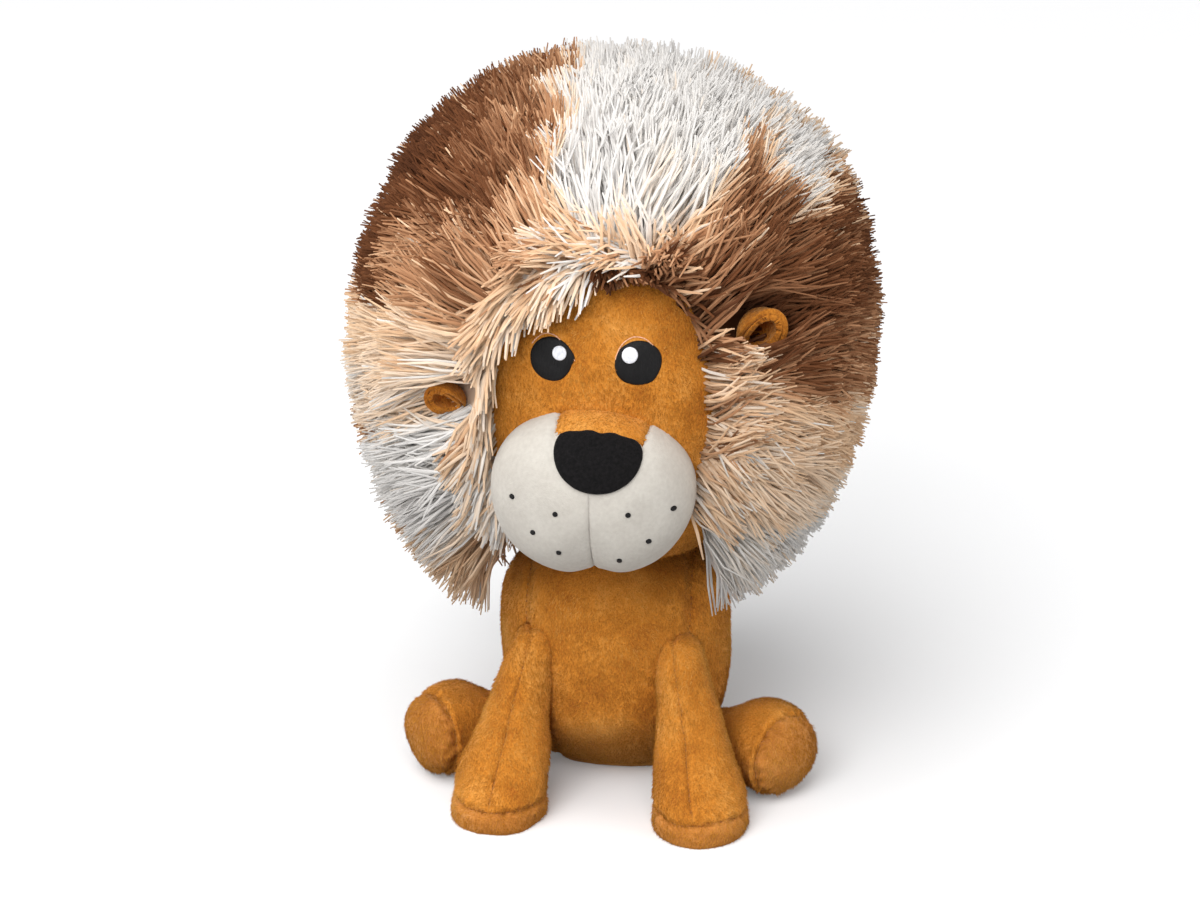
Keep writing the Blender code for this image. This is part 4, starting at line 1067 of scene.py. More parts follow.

# %% [markdown]
# The nose and the eyes aren't round. Their outlines go through a few listed corners, and are made smooth.
# The lid lines and the seam in the muzzle are thread, sewn along curves that are laid on the covers the same
# way.

# %% Nose, eyes and dots


def traced(corners, roll=0.0, soft=6):
    """An outline through listed corners of (across, up), made smooth."""
    corners = np.array(corners, dtype=float)
    turn = np.array([[math.cos(roll), -math.sin(roll)], [math.sin(roll), math.cos(roll)]])
    corners = corners @ turn.T
    angles = np.arctan2(corners[:, 1], corners[:, 0])
    order = np.argsort(angles)
    angles = np.concatenate([angles[order] - 2 * math.pi, angles[order], angles[order] + 2 * math.pi])
    reach = np.tile(np.hypot(corners[:, 0], corners[:, 1])[order], 3)

    def outline(turns):
        steps = range(-soft, soft + 1)
        return sum(np.interp(turns + step * 0.03, angles, reach) for step in steps) / len(steps)

    return outline


def even_sided(radius, sides, first=0.0):
    turns = [2 * math.pi * k / sides + first for k in range(sides)]
    return [(radius * math.cos(turn), radius * math.sin(turn)) for turn in turns]


NOSE_CORNERS = (
    (-15.9, 4.0), (-14.6, 6.6), (-8, 8.2), (0, 8.6), (8, 8.2), (14.6, 6.6), (15.9, 4.0),
    (15.6, 0.5), (13.4, -3.8), (9.0, -7.4), (4.0, -9.3), (0, -9.7), (-4.0, -9.3), (-9.0, -7.4),
    (-13.4, -3.8), (-15.6, 0.5),
)
LEFT_EYE = (
    (8.9, 0.6), (6.6, 4.4), (3.4, 7.0), (-0.5, 7.8), (-4.6, 6.4), (-7.2, 3.2), (-7.8, -0.6), (-6.9, -4.2),
    (-4.2, -7.0), (-0.4, -8.0), (3.6, -7.2), (6.4, -4.4), (7.6, -1.4),
)
RIGHT_EYE = (
    (8.4, 0.6), (7.6, 3.6), (4.6, 6.7), (0.6, 7.9), (-3.6, 7.0), (-6.9, 4.2), (-8.1, 0.2), (-7.4, -3.8),
    (-5.0, -6.6), (-2.2, -7.6), (2.4, -7.7), (5.4, -6.8), (7.6, -3.4),
)
EYES = {"left": ((-15.6, 192.6), LEFT_EYE), "right": ((15.6, 192.4), RIGHT_EYE)}
HIGHLIGHTS = {"left": ((-12.5, 195.2), 2.6), "right": ((12.9, 195.5), 2.9)}
LID_ARCS = {
    "left": [(-23.2, 196.8), (-20.5, 200.6), (-16.6, 202.0), (-12.2, 199.9), (-8.6, 195.0), (-6.6, 192.2)],
    "right": [(7.6, 193.0), (8.6, 197.6), (11.8, 201.2), (16.0, 202.0), (19.8, 199.9), (22.2, 196.4)],
}
DOTS = (
    (-27.4, 146.0), (-10.7, 143.2), (-19.4, 134.0), (-10.0, 126.7),
    (15.3, 143.6), (30.6, 143.3), (22.3, 132.1), (11.8, 124.2),
)
laid_patch(
    "nose_patch", nose_tree, (3.4, 161.4), traced(NOSE_CORNERS, NOSE_ROLL, 5), 2.6, ["nose"], "black_patch",
    felt, 96, 28, 3.0,
)
for side, (centre, corners) in EYES.items():
    eye = laid_patch(
        f"eye_{side}_patch", head_tree, centre, traced(corners, 0, 2), 0.9, [f"eye_{side}"], "black_patch",
        satin_black, 72, 24, 3.0,
    )
    spot, radius = HIGHLIGHTS[side]
    laid_patch(
        f"eye_highlight_{side}_patch", surface_tree(eye), spot, traced(even_sided(radius, 6, 0.2), 0, 2), 0.6,
        [f"eye_highlight_{side}"], "white_thread", satin_white, 36, 12,
    )
for side, corners in LID_ARCS.items():
    steps = np.linspace(0, len(corners) - 1, 40)
    rows = [np.interp(steps, range(len(corners)), column) for column in zip(*corners)]
    across, height = [np.convolve(np.pad(row, 5, "edge"), np.ones(11) / 11, "valid") for row in rows]
    origins = [(x * MM, IN_FRONT, z * MM) for x, z in zip(across, height)]
    runs = [drape(head_tree, origins, BACKWARDS)]
    sew(f"eye_lid_{side}", runs, "head", lid_thread, "white_thread", 0.9 * MM, -0.15 * MM, 1.1)
round_dot = traced(even_sided(1, 8), 0, 1)
for index, centre in enumerate(DOTS):
    laid_patch(
        f"whisker_dot_{index + 1}", muzzle_tree, centre, round_dot, 0.5, [], "black_patch", satin_black,
        16, 8,
    )
print("nose, eyes and dots")

# %% [markdown]
# An ear is a small cup of doubled plush that is folded at its root, so that its rim makes a thick
# horseshoe. It is modelled upright round the origin from a ball: half of it is cut away, its rim is turned
# in, and it is then carried to its root on the head. The two ears point different ways, because the fur
# pushes them.

# %% Ears
EAR_HALF = np.array([9.0, 9.5, 15.0])
EAR_LAYERS = (("back", 0.0, 2.2), ("lining", -2.3, 2.4))
EAR_SIZE = {"left": 0.74, "right": 0.96}
EAR_LOWERED = {"left": 2.0 * MM, "right": 4.0 * MM}
EAR_WAYS = {
    "left": ((-0.24, -0.96, 0.05), (0.55, -0.10, -0.80)),
    "right": ((0.38, -0.90, 0.20), (-0.38, -0.10, -0.90)),
}
BEND_START = -5 * MM
BEND_RADIUS = 18 * MM
for side, (point, opening) in EAR_WAYS.items():
    body = f"ear_{side}"
    root = joint_places[body + "_fold"] - Vector((0, 0, EAR_LOWERED[side]))
    along = Vector(point).normalized()
    facing = Vector(opening)
    facing = (facing - along * facing.dot(along)).normalized()
    turn = Matrix((along.cross(facing), facing, along)).transposed().to_4x4()
    for label, larger, wall in EAR_LAYERS:
        cup = even_ball(f"ear_{label}_{side}_cover", 24)
        points = read_points(cup) * (EAR_HALF + larger) * MM
        points[:, 0] *= 0.62 + 0.38 * np.clip((points[:, 2] + 15 * MM) / (14 * MM), 0, 1)
        write_points(cup, points)
        cut_along(cup, (0, 3.6 * MM, 1 * MM), (0, 1, 0.45), True)
        thicken(cup, wall * MM)
        modify(cup, "SUBSURF", levels=1, render_levels=1)
        points = read_points(cup)
        bend = np.maximum(points[:, 2] - BEND_START, 0) / BEND_RADIUS
        out = BEND_RADIUS + points[:, 1]
        points[:, 1] = out * np.cos(bend) - BEND_RADIUS
        points[:, 2] = np.minimum(points[:, 2], BEND_START) + out * np.sin(bend)
        points = (points + (0, 0, 15 * MM)) * EAR_SIZE[side]
        write_points(cup, points)
        puff(cup, wander(points, 7 * MM, 121 + len(side)) * 0.25 * MM)
        cup.data.transform(Matrix.Translation(root) @ turn)
        finish_piece(cup, body, [f"ear_{label}_{side}"], "tan_plush", plush)
print("two ears")

# %% [markdown]
# The mane is long pile: thousands of soft strands. One strand is modelled, a thin cone of three sides, and
# copied along a curve for each place on the scalp. A strand leaves the scalp along its normal and is then
# combed away from the face. Strands come in tufts, whose tips draw together, and each has a little curl of
# its own. Where hair is short or long was read off the picture's outline.

# %% One strand
STRAND_STEPS = 3
TAPER = (0.8, 1.0, 0.95, 0.45)
strand_shape = added(
    bpy.ops.mesh.primitive_circle_add, "strand_shape", vertices=3, radius=TAPER[0], fill_type="NGON",
)
with editing():
    for step in range(STRAND_STEPS):
        bpy.ops.mesh.extrude_region_move(TRANSFORM_OT_translate={"value": (0, 0, 1)})
        narrower = TAPER[step + 1] / TAPER[step]
        bpy.ops.transform.resize(value=(narrower, narrower, 1), center_override=(0, 0, step + 1))
    bpy.ops.mesh.select_all(action="SELECT")
    bpy.ops.mesh.normals_make_consistent(inside=False)


def shape_of(obj):
    """A hair's points, its faces, and each point's step up the hair. The object is then removed."""
    points = read_points(obj)
    points[:, 2] -= points[:, 2].min()
    faces = [list(face.vertices) for face in obj.data.polygons]
    bpy.data.objects.remove(obj)
    return points, faces, np.rint(points[:, 2]).astype(int)


strand = shape_of(strand_shape)
print(len(strand[0]), "points and", len(strand[1]), "faces in a strand")

# %% [markdown]
# The colours come in patches, as the fabric was printed: white on the crown, brown above the left and on
# the right, beige round the face and cream below. A patch is a place on the picture plane with a tone
# between 0, dark brown, and 1, white. A strand takes the tone of the nearest patches, seen from its middle,
# and keeps it from root to tip.

# %% Colouring
TONES = (
    (8, 272, 1.0), (-8, 286, 0.95), (36, 268, 0.99), (-4, 254, 0.98), (20, 250, 0.95),
    (20, 222, 0.36), (-2, 232, 0.62), (70, 256, 0.95), (56, 268, 0.97), (50, 238, 0.34),
    (66, 228, 0.28), (34, 236, 0.52), (46, 284, 0.97), (-50, 272, 0.24), (-66, 244, 0.16),
    (-42, 244, 0.28), (-88, 214, 0.20), (-58, 222, 0.42), (-28, 236, 0.55), (-30, 264, 0.36),
    (-98, 190, 0.60), (-70, 192, 0.70), (-84, 168, 0.78), (-50, 190, 0.80), (-34, 212, 0.66),
    (-97, 156, 0.32), (-74, 140, 0.98), (-60, 124, 0.97), (-91, 128, 0.36), (-78, 108, 0.40),
    (-52, 100, 0.64), (-38, 84, 0.66), (52, 222, 0.32), (74, 214, 0.25), (90, 216, 0.32),
    (94, 190, 0.40), (82, 182, 0.38), (40, 206, 0.40), (66, 196, 0.34), (56, 172, 0.62),
    (74, 164, 0.66), (92, 158, 0.58), (52, 150, 0.72), (70, 140, 0.74), (88, 132, 0.88),
    (52, 120, 0.86), (70, 116, 0.97), (78, 104, 0.98), (50, 92, 0.92),
)
BACK_TONES = (
    (0, 270, 0.95), (-50, 250, 0.30), (50, 250, 0.70), (-80, 190, 0.85), (80, 190, 0.25), (-30, 205, 0.80),
    (35, 195, 0.45), (-60, 130, 0.90), (0, 150, 0.30), (60, 130, 0.80), (-30, 100, 0.55), (30, 95, 0.65),
)
TONE_BACK = 20 * MM
PATCH_BORDER = 9 * MM


def tone_of(places, patches, seed):
    """Each place's tone: the patches' tones, weighted steeply by nearness, with ragged borders."""
    wobble = np.stack([wander(places, 26 * MM, seed), wander(places, 26 * MM, seed + 1)], axis=1) * 5 * MM
    spots = np.array([(x * MM, z * MM) for x, z, tone in patches])
    tones = np.array([tone for x, z, tone in patches])
    flat = places[:, [0, 2]] + wobble
    away = np.linalg.norm(flat[:, None, :] - spots[None], axis=2)
    weight = np.exp(-(away / PATCH_BORDER) ** 2 + (away.min(axis=1) / PATCH_BORDER)[:, None] ** 2)
    return (weight * tones).sum(axis=1) / weight.sum(axis=1)


def mane_tone(places):
    return np.where(places[:, 1] < TONE_BACK, tone_of(places, TONES, 131), tone_of(places, BACK_TONES, 133))


print(len(TONES) + len(BACK_TONES), "patches of colour")

# %% [markdown]
# Combing makes a curve of four places for each strand. The combed strands cover the whole scalp. Loose
# locks are added along the rim of the face, each group with its own arc, way and length, and some hang over
# the forehead.

# %% Combing
MANE_OUTLINE = (
    (0, 97), (8, 98), (22, 101), (33, 103), (48, 108), (63, 112), (78, 114), (90, 116), (100, 115),
    (112, 110), (125, 108), (140, 104), (152, 101), (165, 99), (180, 99), (195, 99), (212, 100), (226, 106),
    (240, 112), (252, 106), (270, 98), (290, 98), (302, 99), (315, 97), (330, 95), (345, 95), (360, 97),
)
FUR_LINE = (38.5 * MM, 51 * MM)
CHIN_HALF = 37 * MM
CHIN_BACK = -22 * MM
NECK_TOP = 113 * MM
NECK_CLEARANCE = 44 * MM
BACK_START = 14 * MM
CROWN_ANGLE = math.radians(42)
FRINGE_HEIGHT = 220 * MM
BACK_LENGTH = 31 * MM
STRAND_RADIUS = 0.60 * MM
ROOT_DEPTH = 1.5 * MM
SHORTEST, LONGEST = 24 * MM, 42 * MM
TUFT_SIZE = 11
TUFT_PULL = 0.82


def outline_reach(ways):
    """How far the mane reaches from the head's centre, seen from the front, along each way."""
    degrees = np.degrees(np.arctan2(ways[:, 2], ways[:, 0])) % 360
    return np.interp(degrees, *zip(*MANE_OUTLINE)) * MM


def head_normals(places):
    return unit((places - HEAD_CENTRE) / np.array([HEAD_HALF[0], HEAD_HALF[1], HEAD_RISE]) ** 2)


def grown(base, start, end, length, power=1.0):
    """Curves from their bases, which set out one way and bend towards another."""
    curve = [base]
    for step in range(STRAND_STEPS):
        along = ((step + 0.5) / STRAND_STEPS) ** power
        way = unit(start * (1 - along) + end * along)
        curve.append(curve[-1] + way * (length / STRAND_STEPS)[:, None])
    return np.stack(curve, axis=1)


def wander_ways(places, size, seed):
    return np.stack([wander(places, size, seed + axis) for axis in range(3)], axis=1)


def combed_strands(count, seed):
    """Strands as curves of four places, with their roots, tones and radii."""
    random = np.random.default_rng(seed)
    index = np.arange(count) + 0.5
    turn = index * math.pi * (1 + math.sqrt(5))
    height = 1 - 2 * index / count
    flat = np.sqrt(1 - height ** 2)
    ways = np.stack([flat * np.cos(turn), flat * np.sin(turn), height], axis=1)
    ways = unit(ways + random.normal(size=ways.shape) * 0.4 / math.sqrt(count))
    roots = HEAD_CENTRE + ways * swell_reach(ways, HEAD_FORM)[:, None]
    x, y, z = roots.T
    in_face = (np.hypot(x / FUR_LINE[0], (z - FACE_CENTRE[2]) / FUR_LINE[1]) < 1) & (y < HEAD_CENTRE[1])
    in_chin = (np.abs(x) < CHIN_HALF) & (y < CHIN_BACK) & (z < FACE_CENTRE[2])
    in_neck = (z < NECK_TOP) & (np.hypot(x, y - 2 * MM) < NECK_CLEARANCE)
    roots = roots[~(in_face | in_chin | in_neck)]
    number = len(roots)
    x, y, z = roots.T

    normals = head_normals(roots)
    radial = unit((roots - FACE_CENTRE) * (1, 0, 1))
    radial = radial - normals * (radial * normals).sum(axis=1)[:, None]
    facing = np.clip(-normals[:, 1], 0, 1)
    behind = np.clip(normals[:, 1], 0, 1)
    crown = np.clip(normals[:, 2], 0, 1)
    low = np.clip((140 * MM - z) / (40 * MM), 0, 1)
    jitter = random.normal(size=(number, 3))
    start = unit(normals + radial * (0.55 * facing + 0.1)[:, None] + jitter * 0.16)
    end = normals * (1 - 0.72 * facing)[:, None] + radial * (1.30 * facing + 0.15 + 0.40 * crown)[:, None]
    down = np.array([0, 0, -1.0])
    end = end + down * (0.10 + 0.45 * behind + 0.35 * low)[:, None] + jitter * 0.20

    fringe = (facing > 0.45) & (x < 24 * MM) & (x > -44 * MM)
    forward = 0.8 * valley(z - FRINGE_HEIGHT, 4.5 * MM) * fringe
    fall = np.array([-0.45, -0.55, -0.50])
    end = end * (1 - forward)[:, None] + (fall + normals * 0.35) * forward[:, None] * 1.2
    drift = wander_ways(roots, 34 * MM, seed + 3)
    lean = wander_ways(roots, 11 * MM, seed + 7)
    end = unit(unit(end) + drift * 0.26 + lean * 0.30)
    start = unit(start + drift * 0.12 + lean * 0.16)

    silhouette = outline_reach(roots - HEAD_CENTRE) - np.hypot(x, z - HEAD_CENTRE[2])
    side_on = 1 - np.abs(normals[:, 1])
    length = silhouette * side_on + BACK_LENGTH * (1 - side_on)
    length = np.clip(length * (1.12 + 0.10 * crown), SHORTEST, LONGEST) * random.uniform(0.88, 1.05, number)
    length *= 1 - 0.35 * forward

    tufts = number // TUFT_SIZE
    leaders = random.choice(number, tufts, replace=False)
    tree = BVHTree.FromPolygons(
        [tuple(p) for k in leaders for p in (roots[k], roots[k] + [1e-5, 0, 0], roots[k] + [0, 1e-5, 0])],
        [(3 * k, 3 * k + 1, 3 * k + 2) for k in range(tufts)],
    )
    leader = leaders[[tree.find_nearest(Vector(root))[2] for root in roots]]
    share = random.uniform(0.40, 0.92, number)[:, None]
    end = unit(end * (1 - share) + end[leader] * share)
    curve = grown(roots - normals * ROOT_DEPTH, start, end, length)
    pull = (np.linspace(0, 1, STRAND_STEPS + 1) ** 1.5)[None, :, None] * share[:, :, None] * TUFT_PULL
    curve = curve + (curve[leader] - curve) * pull
    phase = random.uniform(0, 2 * math.pi, number)
    side = unit(np.cross(start, random.normal(size=(number, 3))))
    other = np.cross(start, side)
    curl = random.uniform(0.6, 3.0, number) * MM
    for step in range(1, STRAND_STEPS + 1):
        turn = phase + step * 1.3
        amount = (curl * (step / STRAND_STEPS) ** 1.2)[:, None]
        curve[:, step] += (side * np.cos(turn)[:, None] + other * np.sin(turn)[:, None]) * amount

    tone = mane_tone(curve[:, 2])
    tone = tone + (random.normal(size=number) * 0.045)[leader] + random.normal(size=number) * 0.03
    stray = random.random(number) < 0.05
    tone = np.where(stray, tone + random.uniform(-0.1, 0.35, number), tone)
    return roots, curve, np.clip(tone, 0.02, 0.98), STRAND_RADIUS * random.uniform(0.8, 1.2, number)


def hanging_locks(seed, count, arc, band, start_way, end_way, lengths, tone, radius, curl):
    """Loose locks along the rim of the face, over an arc in degrees and a band of the rim's size."""
    random = np.random.default_rng(seed)
    turn = np.radians(random.uniform(*arc, count))
    share = random.uniform(*band, count)
    x = 38 * MM * np.cos(turn) * share
    z = FACE_CENTRE[2] + 50 * MM * np.sin(turn) * share
    above = z > HEAD_CENTRE[2]
    level = np.clip((z - HEAD_CENTRE[2]) / np.where(above, HEAD_RISE, HEAD_DROP), -0.98, 0.98)
    power = np.where(above, HEAD_POWERS[1], HEAD_POWERS[0])
    around = (1 - np.abs(level) ** power) ** (2 / power)
    y = HEAD_CENTRE[1] - HEAD_HALF[1] * np.sqrt(np.maximum(around - (x / HEAD_HALF[0]) ** 2, 0.01))
    roots = np.stack([x, y, z], axis=1)
    normals = head_normals(roots)
    tuft = np.floor(turn * 16) + np.floor(share * 14) * 50
    shared = np.stack([np.sin(tuft * 12.99 + k * 4.7) for k in range(3)], axis=1) * 0.24
    start = unit(np.array(start_way) + normals * 0.6 + shared + random.normal(size=(count, 3)) * 0.14)
    end = unit(np.array(end_way) + shared + random.normal(size=(count, 3)) * 0.15)
    length = random.uniform(*lengths, count) * MM
    curve = grown(roots - normals * ROOT_DEPTH, start, end, length, 0.8)
    side = unit(np.cross(start, random.normal(size=(count, 3))))
    phase = random.uniform(0, 2 * math.pi, count)
    amount = random.uniform(0.2, 1.0, count) * curl * MM
    for step in range(1, STRAND_STEPS + 1):
        curve[:, step] += side * (np.sin(phase + step * 1.5) * amount * step / STRAND_STEPS)[:, None]
    tones = np.clip(random.normal(tone[0], tone[1], count) + shared[:, 0] * 0.3, 0.03, 0.97)
    return roots, curve, tones, radius * MM * random.uniform(0.75, 1.15, count)


def panel_of(roots):
    """The mane panel that each root is sewn on: 0 crown, 1 and 2 sides, 3 and 4 back."""
    left = roots[:, 0] < 0
    back = roots[:, 1] >= BACK_START
    crown = np.abs(roots[:, 0]) < (roots[:, 2] - HEAD_CENTRE[2]) * math.tan(CROWN_ANGLE)
    return np.where(back, np.where(left, 3, 4), np.where(crown, 0, np.where(left, 1, 2)))


def clear_of_view(curve, low, high, behind):
    """False for strands that cross an oval window of the picture nearer to the camera than a place behind."""
    view = np.array(camera.matrix_world.inverted())
    points = curve.reshape(-1, 3) @ view[:3, :3].T + view[:3, 3]
    depth = -(view[2, :3] @ (np.array(behind) * MM) + view[2, 3])
    scale = PICTURE[0] * camera_data.lens / camera_data.sensor_width
    px = PICTURE[0] / 2 + scale * points[:, 0] / -points[:, 2]
    py = PICTURE[1] / 2 - scale * points[:, 1] / -points[:, 2]
    centre = (np.array(low) + np.array(high)) / 2
    half = (np.array(high) - np.array(low)) / 2
    inside = ((px - centre[0]) / half[0]) ** 2 + ((py - centre[1]) / half[1]) ** 2 < 1
    hidden = inside & (-points[:, 2] < depth)
    return ~hidden.reshape(curve.shape[:2]).any(axis=1)


def clear_of_ball(curve, centre, radius):
    away = np.linalg.norm(curve[:, 1:] - np.array(centre) * MM, axis=2)
    return (away > radius * MM).all(axis=1)


print("combs are ready")

# %% [markdown]
# The mane fabric is dyed in the piece, so one strand has one tone. Its colour is darker at the root than at
# the tip for all but the whitest tones: partly the strand's own colour, partly painted shade where the
# strands shade each other near the scalp. Tone and place are written in each strand's own map: across for the
# tone, and up for the way along the strand. Soft pile scatters light, so that a strand is lit less by its own
# round side than by the way the whole coat faces: its normals lean that way.

# %% Mane fur material
TIP_COLOURS = (
    (0.0, (68, 39, 23)), (0.15, (88, 52, 31)), (0.30, (112, 69, 42)), (0.46, (188, 139, 102)),
    (0.62, (230, 193, 156)), (0.78, (238, 215, 191)), (0.90, (228, 223, 217)), (1.0, (224, 221, 218)),
)
# Root colours: darker than the tips for all but the whitest tones, partly the strands' own colour and partly
# painted shade near the scalp.
ROOT_COLOURS_WITH_SHADE = (
    (0.0, (38, 21, 12)), (0.15, (50, 29, 18)), (0.30, (70, 41, 25)), (0.46, (126, 87, 59)),
    (0.62, (178, 138, 104)), (0.78, (208, 181, 154)), (0.90, (224, 218, 212)), (1.0, (230, 228, 225)),
)


def fur_finish(name, root_colours_with_shade, tip_colours):
    fur = Finish(name, 0.75, Specular_IOR_Level=0.08)
    map_node = fur.node("ShaderNodeUVMap", {"uv_map": "OFBake"}, {})
    tone = fur.node("ShaderNodeSeparateXYZ", {}, {0: map_node}, 0)
    along = fur.node("ShaderNodeSeparateXYZ", {}, {0: map_node}, 1)
    stretch = {"Value": along, 1: 0.02, 2: 0.66}
    lit = fur.node("ShaderNodeMapRange", {"interpolation_type": "SMOOTHSTEP"}, stretch)
    # Along the strand the colour runs from the root colours to the tip colours; the darker roots are painted
    # shade near the base.
    fur.colour(fur.mix(lit, fur.ramp(tone, *root_colours_with_shade), fur.ramp(tone, *tip_colours)))
    return fur.material


fur_material = fur_finish("mane_fur", ROOT_COLOURS_WITH_SHADE, TIP_COLOURS)


def write_map(layer, across, up):
    layer.name = "OFBake"
    layer.data.foreach_set("uv", np.stack([across, up], axis=1).astype(np.float32).ravel())


def strand_mesh(name, curve, tones, radii, outwards, seed, material, softness=0.6, shape=strand):
    """All these strands as one mesh, each a copy of the modelled hair along its curve."""
    hair_points, hair_faces, hair_step = shape
    random = np.random.default_rng(seed)
    number = len(curve)
    per = len(hair_points)
    ahead = np.diff(curve, axis=1)
    tangent = np.concatenate([ahead[:, :1], (ahead[:, 1:] + ahead[:, :-1]) / 2, ahead[:, -1:]], axis=1)
    tangent = unit(tangent)
    side = unit(np.cross(tangent, random.normal(size=(number, 1, 3))))
    other = np.cross(side, tangent)
    thick = hair_points * radii[:, None, None]
    points = curve[:, hair_step] + side[:, hair_step] * thick[:, :, :1]
    points = points - other[:, hair_step] * thick[:, :, 1:2]
    corners = np.concatenate([np.array(face) for face in hair_faces])
    loops = (np.arange(number)[:, None] * per + corners[None]).ravel()
    totals = np.tile([len(face) for face in hair_faces], number)
    mesh = bpy.data.meshes.new(name)
    mesh.vertices.add(number * per)
    mesh.vertices.foreach_set("co", points.astype(np.float32).ravel())
    mesh.loops.add(len(loops))
    mesh.loops.foreach_set("vertex_index", loops.astype(np.int32))
    mesh.polygons.add(len(totals))
    starts = np.concatenate([[0], np.cumsum(totals)[:-1]])
    mesh.polygons.foreach_set("loop_start", starts.astype(np.int32))
    mesh.update(calc_edges=True)
    mesh.validate()
    across = tones[:, None] + (hair_points[corners, 0] * 0.012)[None]
    up = np.tile(hair_step[corners] / hair_step.max() * 0.96 + 0.02, number)
    write_map(mesh.uv_layers.new(name="OFBake"), across.ravel(), up)
    mesh.materials.append(material)
    obj = bpy.data.objects.new(name, mesh)
    scene.collection.objects.link(obj)
    mesh.shade_smooth()
    own = read_normals(obj).reshape(number, per, 3)
    normals = unit(own * (1 - softness) + outwards[:, None, :] * softness)
    mesh.normals_split_custom_set_from_vertices(normals.reshape(-1, 3).tolist())
    return obj


print("fur can be grown")

# %% [markdown]
# Strands that would hide an eye, an ear, the nose or the muzzle in the picture are left out, as the real fur
# is brushed off them. At the back every seventh strand is left out too, which keeps the back pieces of the
# mane lighter. At the back every seventh strand is left out too, so that no piece of the mane has more than
# 200,000 triangles.

# %% Mane
PANELS = {
    "mane_crown": "white_fur", "mane_left_side": "beige_fur", "mane_right_side": "brown_fur",
    "mane_back_left": "beige_fur", "mane_back_right": "brown_fur",
}
# How many, the arc, the band, the way out, the way down; then the lengths, the tone, the radius and the curl.
LOCKS = (
    (420, (96, 150), (0.98, 1.1), (-0.5, -0.5, 0.5), (-0.35, -0.42, -0.85),
     (22, 31), (0.66, 0.07), 0.85, 1.2),
    (300, (148, 196), (0.97, 1.07), (-0.5, -0.6, 0.1), (-0.18, -0.15, -0.95),
     (20, 30), (0.66, 0.08), 0.8, 1.5),
    (120, (84, 118), (0.98, 1.1), (-0.6, -0.6, 0.4), (-0.35, -0.5, -0.75),
     (20, 28), (0.72, 0.2), 0.75, 3.0),
    (150, (62, 112), (1.08, 1.26), (-0.4, -0.7, 0.4), (-0.7, -0.4, 0.25),
     (20, 30), (0.84, 0.14), 0.7, 4.5),
    (420, (38, 92), (1.0, 1.12), (0.2, -0.7, 0.4), (0.35, -0.6, -0.45),
     (14, 21), (0.28, 0.09), 0.8, 2.5),
    (260, (22, 70), (1.0, 1.16), (0.4, -0.7, 0.4), (0.85, -0.35, 0.35),
     (22, 32), (0.4, 0.12), 0.75, 2.0),
    (420, (-22, 30), (0.99, 1.12), (0.7, -0.55, 0.2), (0.85, -0.2, 0.35),
     (24, 34), (0.64, 0.1), 0.7, 3.0),
    (260, (-42, 0), (0.99, 1.12), (0.7, -0.55, 0.0), (0.75, -0.25, -0.55),
     (22, 32), (0.74, 0.1), 0.7, 3.0),
    (260, (190, 222), (0.98, 1.12), (-0.6, -0.5, -0.1), (-0.35, -0.15, -0.9),
     (22, 30), (0.82, 0.1), 0.8, 2.0),
)
SCALP_DEPTH = 1 * MM
SCALP_EDGE = (40 * MM, 53 * MM)
SCALP_LOW = 110 * MM
NECK_HOLE = 34 * MM
HAIRS = 52000
WINDOWS = (
    ((736, 288), (796, 346), (59, -46, 204)), ((424, 378), (474, 430), (-56, -50, 170)),
    ((522, 328), (672, 400), (0, -50, 190)), ((494, 408), (694, 574), (0, -62, 143)),
    ((584, 286), (694, 416), (0, -50, 190)),
)
layers = [combed_strands(HAIRS, 141)]
layers += [hanging_locks(171 + index, *lock) for index, lock in enumerate(LOCKS)]
roots, curves, tones, radii = (np.concatenate(part) for part in zip(*layers))
kept = clear_of_ball(curves, (61, -48, 206), 9.5) & clear_of_ball(curves, (-56, -52, 171.5), 8.5)
for window in WINDOWS:
    kept &= clear_of_view(curves, *window)
outwards = head_normals(roots)
panels = panel_of(roots)
kept &= (panels < 3) | (np.arange(len(roots)) % 7 > 0)
for index, (name, slot) in enumerate(PANELS.items()):
    chosen = kept & (panels == index)
    fur = strand_mesh(
        name + "_pile", curves[chosen], tones[chosen], radii[chosen], outwards[chosen], 151 + index,
        fur_material,
    )
    scalp = swollen(name + "_scalp", HEAD_CENTRE, resized(HEAD_FORM, SCALP_DEPTH), 40)
    centres = face_centres(scalp)
    x, y, z = (centres - FACE_CENTRE).T
    bare = (np.hypot(x / SCALP_EDGE[0], z / SCALP_EDGE[1]) < 1) & (centres[:, 1] < HEAD_CENTRE[1])
    bare |= (centres[:, 2] < SCALP_LOW) & (np.hypot(x, y - 2 * MM) < NECK_HOLE)
    bpy.data.objects.remove(split_off(scalp, "scalp_rest", bare | (panel_of(centres) != index)))
    thicken(scalp, SCALP_DEPTH)
    corners = np.empty(len(scalp.data.loops), dtype=np.int32)
    scalp.data.loops.foreach_get("vertex_index", corners)
    across = np.clip(mane_tone(read_points(scalp))[corners], 0.03, 0.97) + np.sin(corners * 2.4) * 0.01
    layer = scalp.data.uv_layers.active or scalp.data.uv_layers.new(name="OFBake")
    # The scalp takes the root colours: painted shade under the fur.
    write_map(layer, across, 0.06 + np.cos(corners * 1.7) * 0.02)
    scalp.data.materials.clear()
    scalp.data.materials.append(fur_material)
    make_active(fur)
    scalp.select_set(True)
    bpy.ops.object.join()
    place_piece(fur, "head", slot, name)
    print(name, int(chosen.sum()), "strands")

# %% [markdown]
# The tail's tuft is made of the same strands, in brown, gathered at the end of the tail.

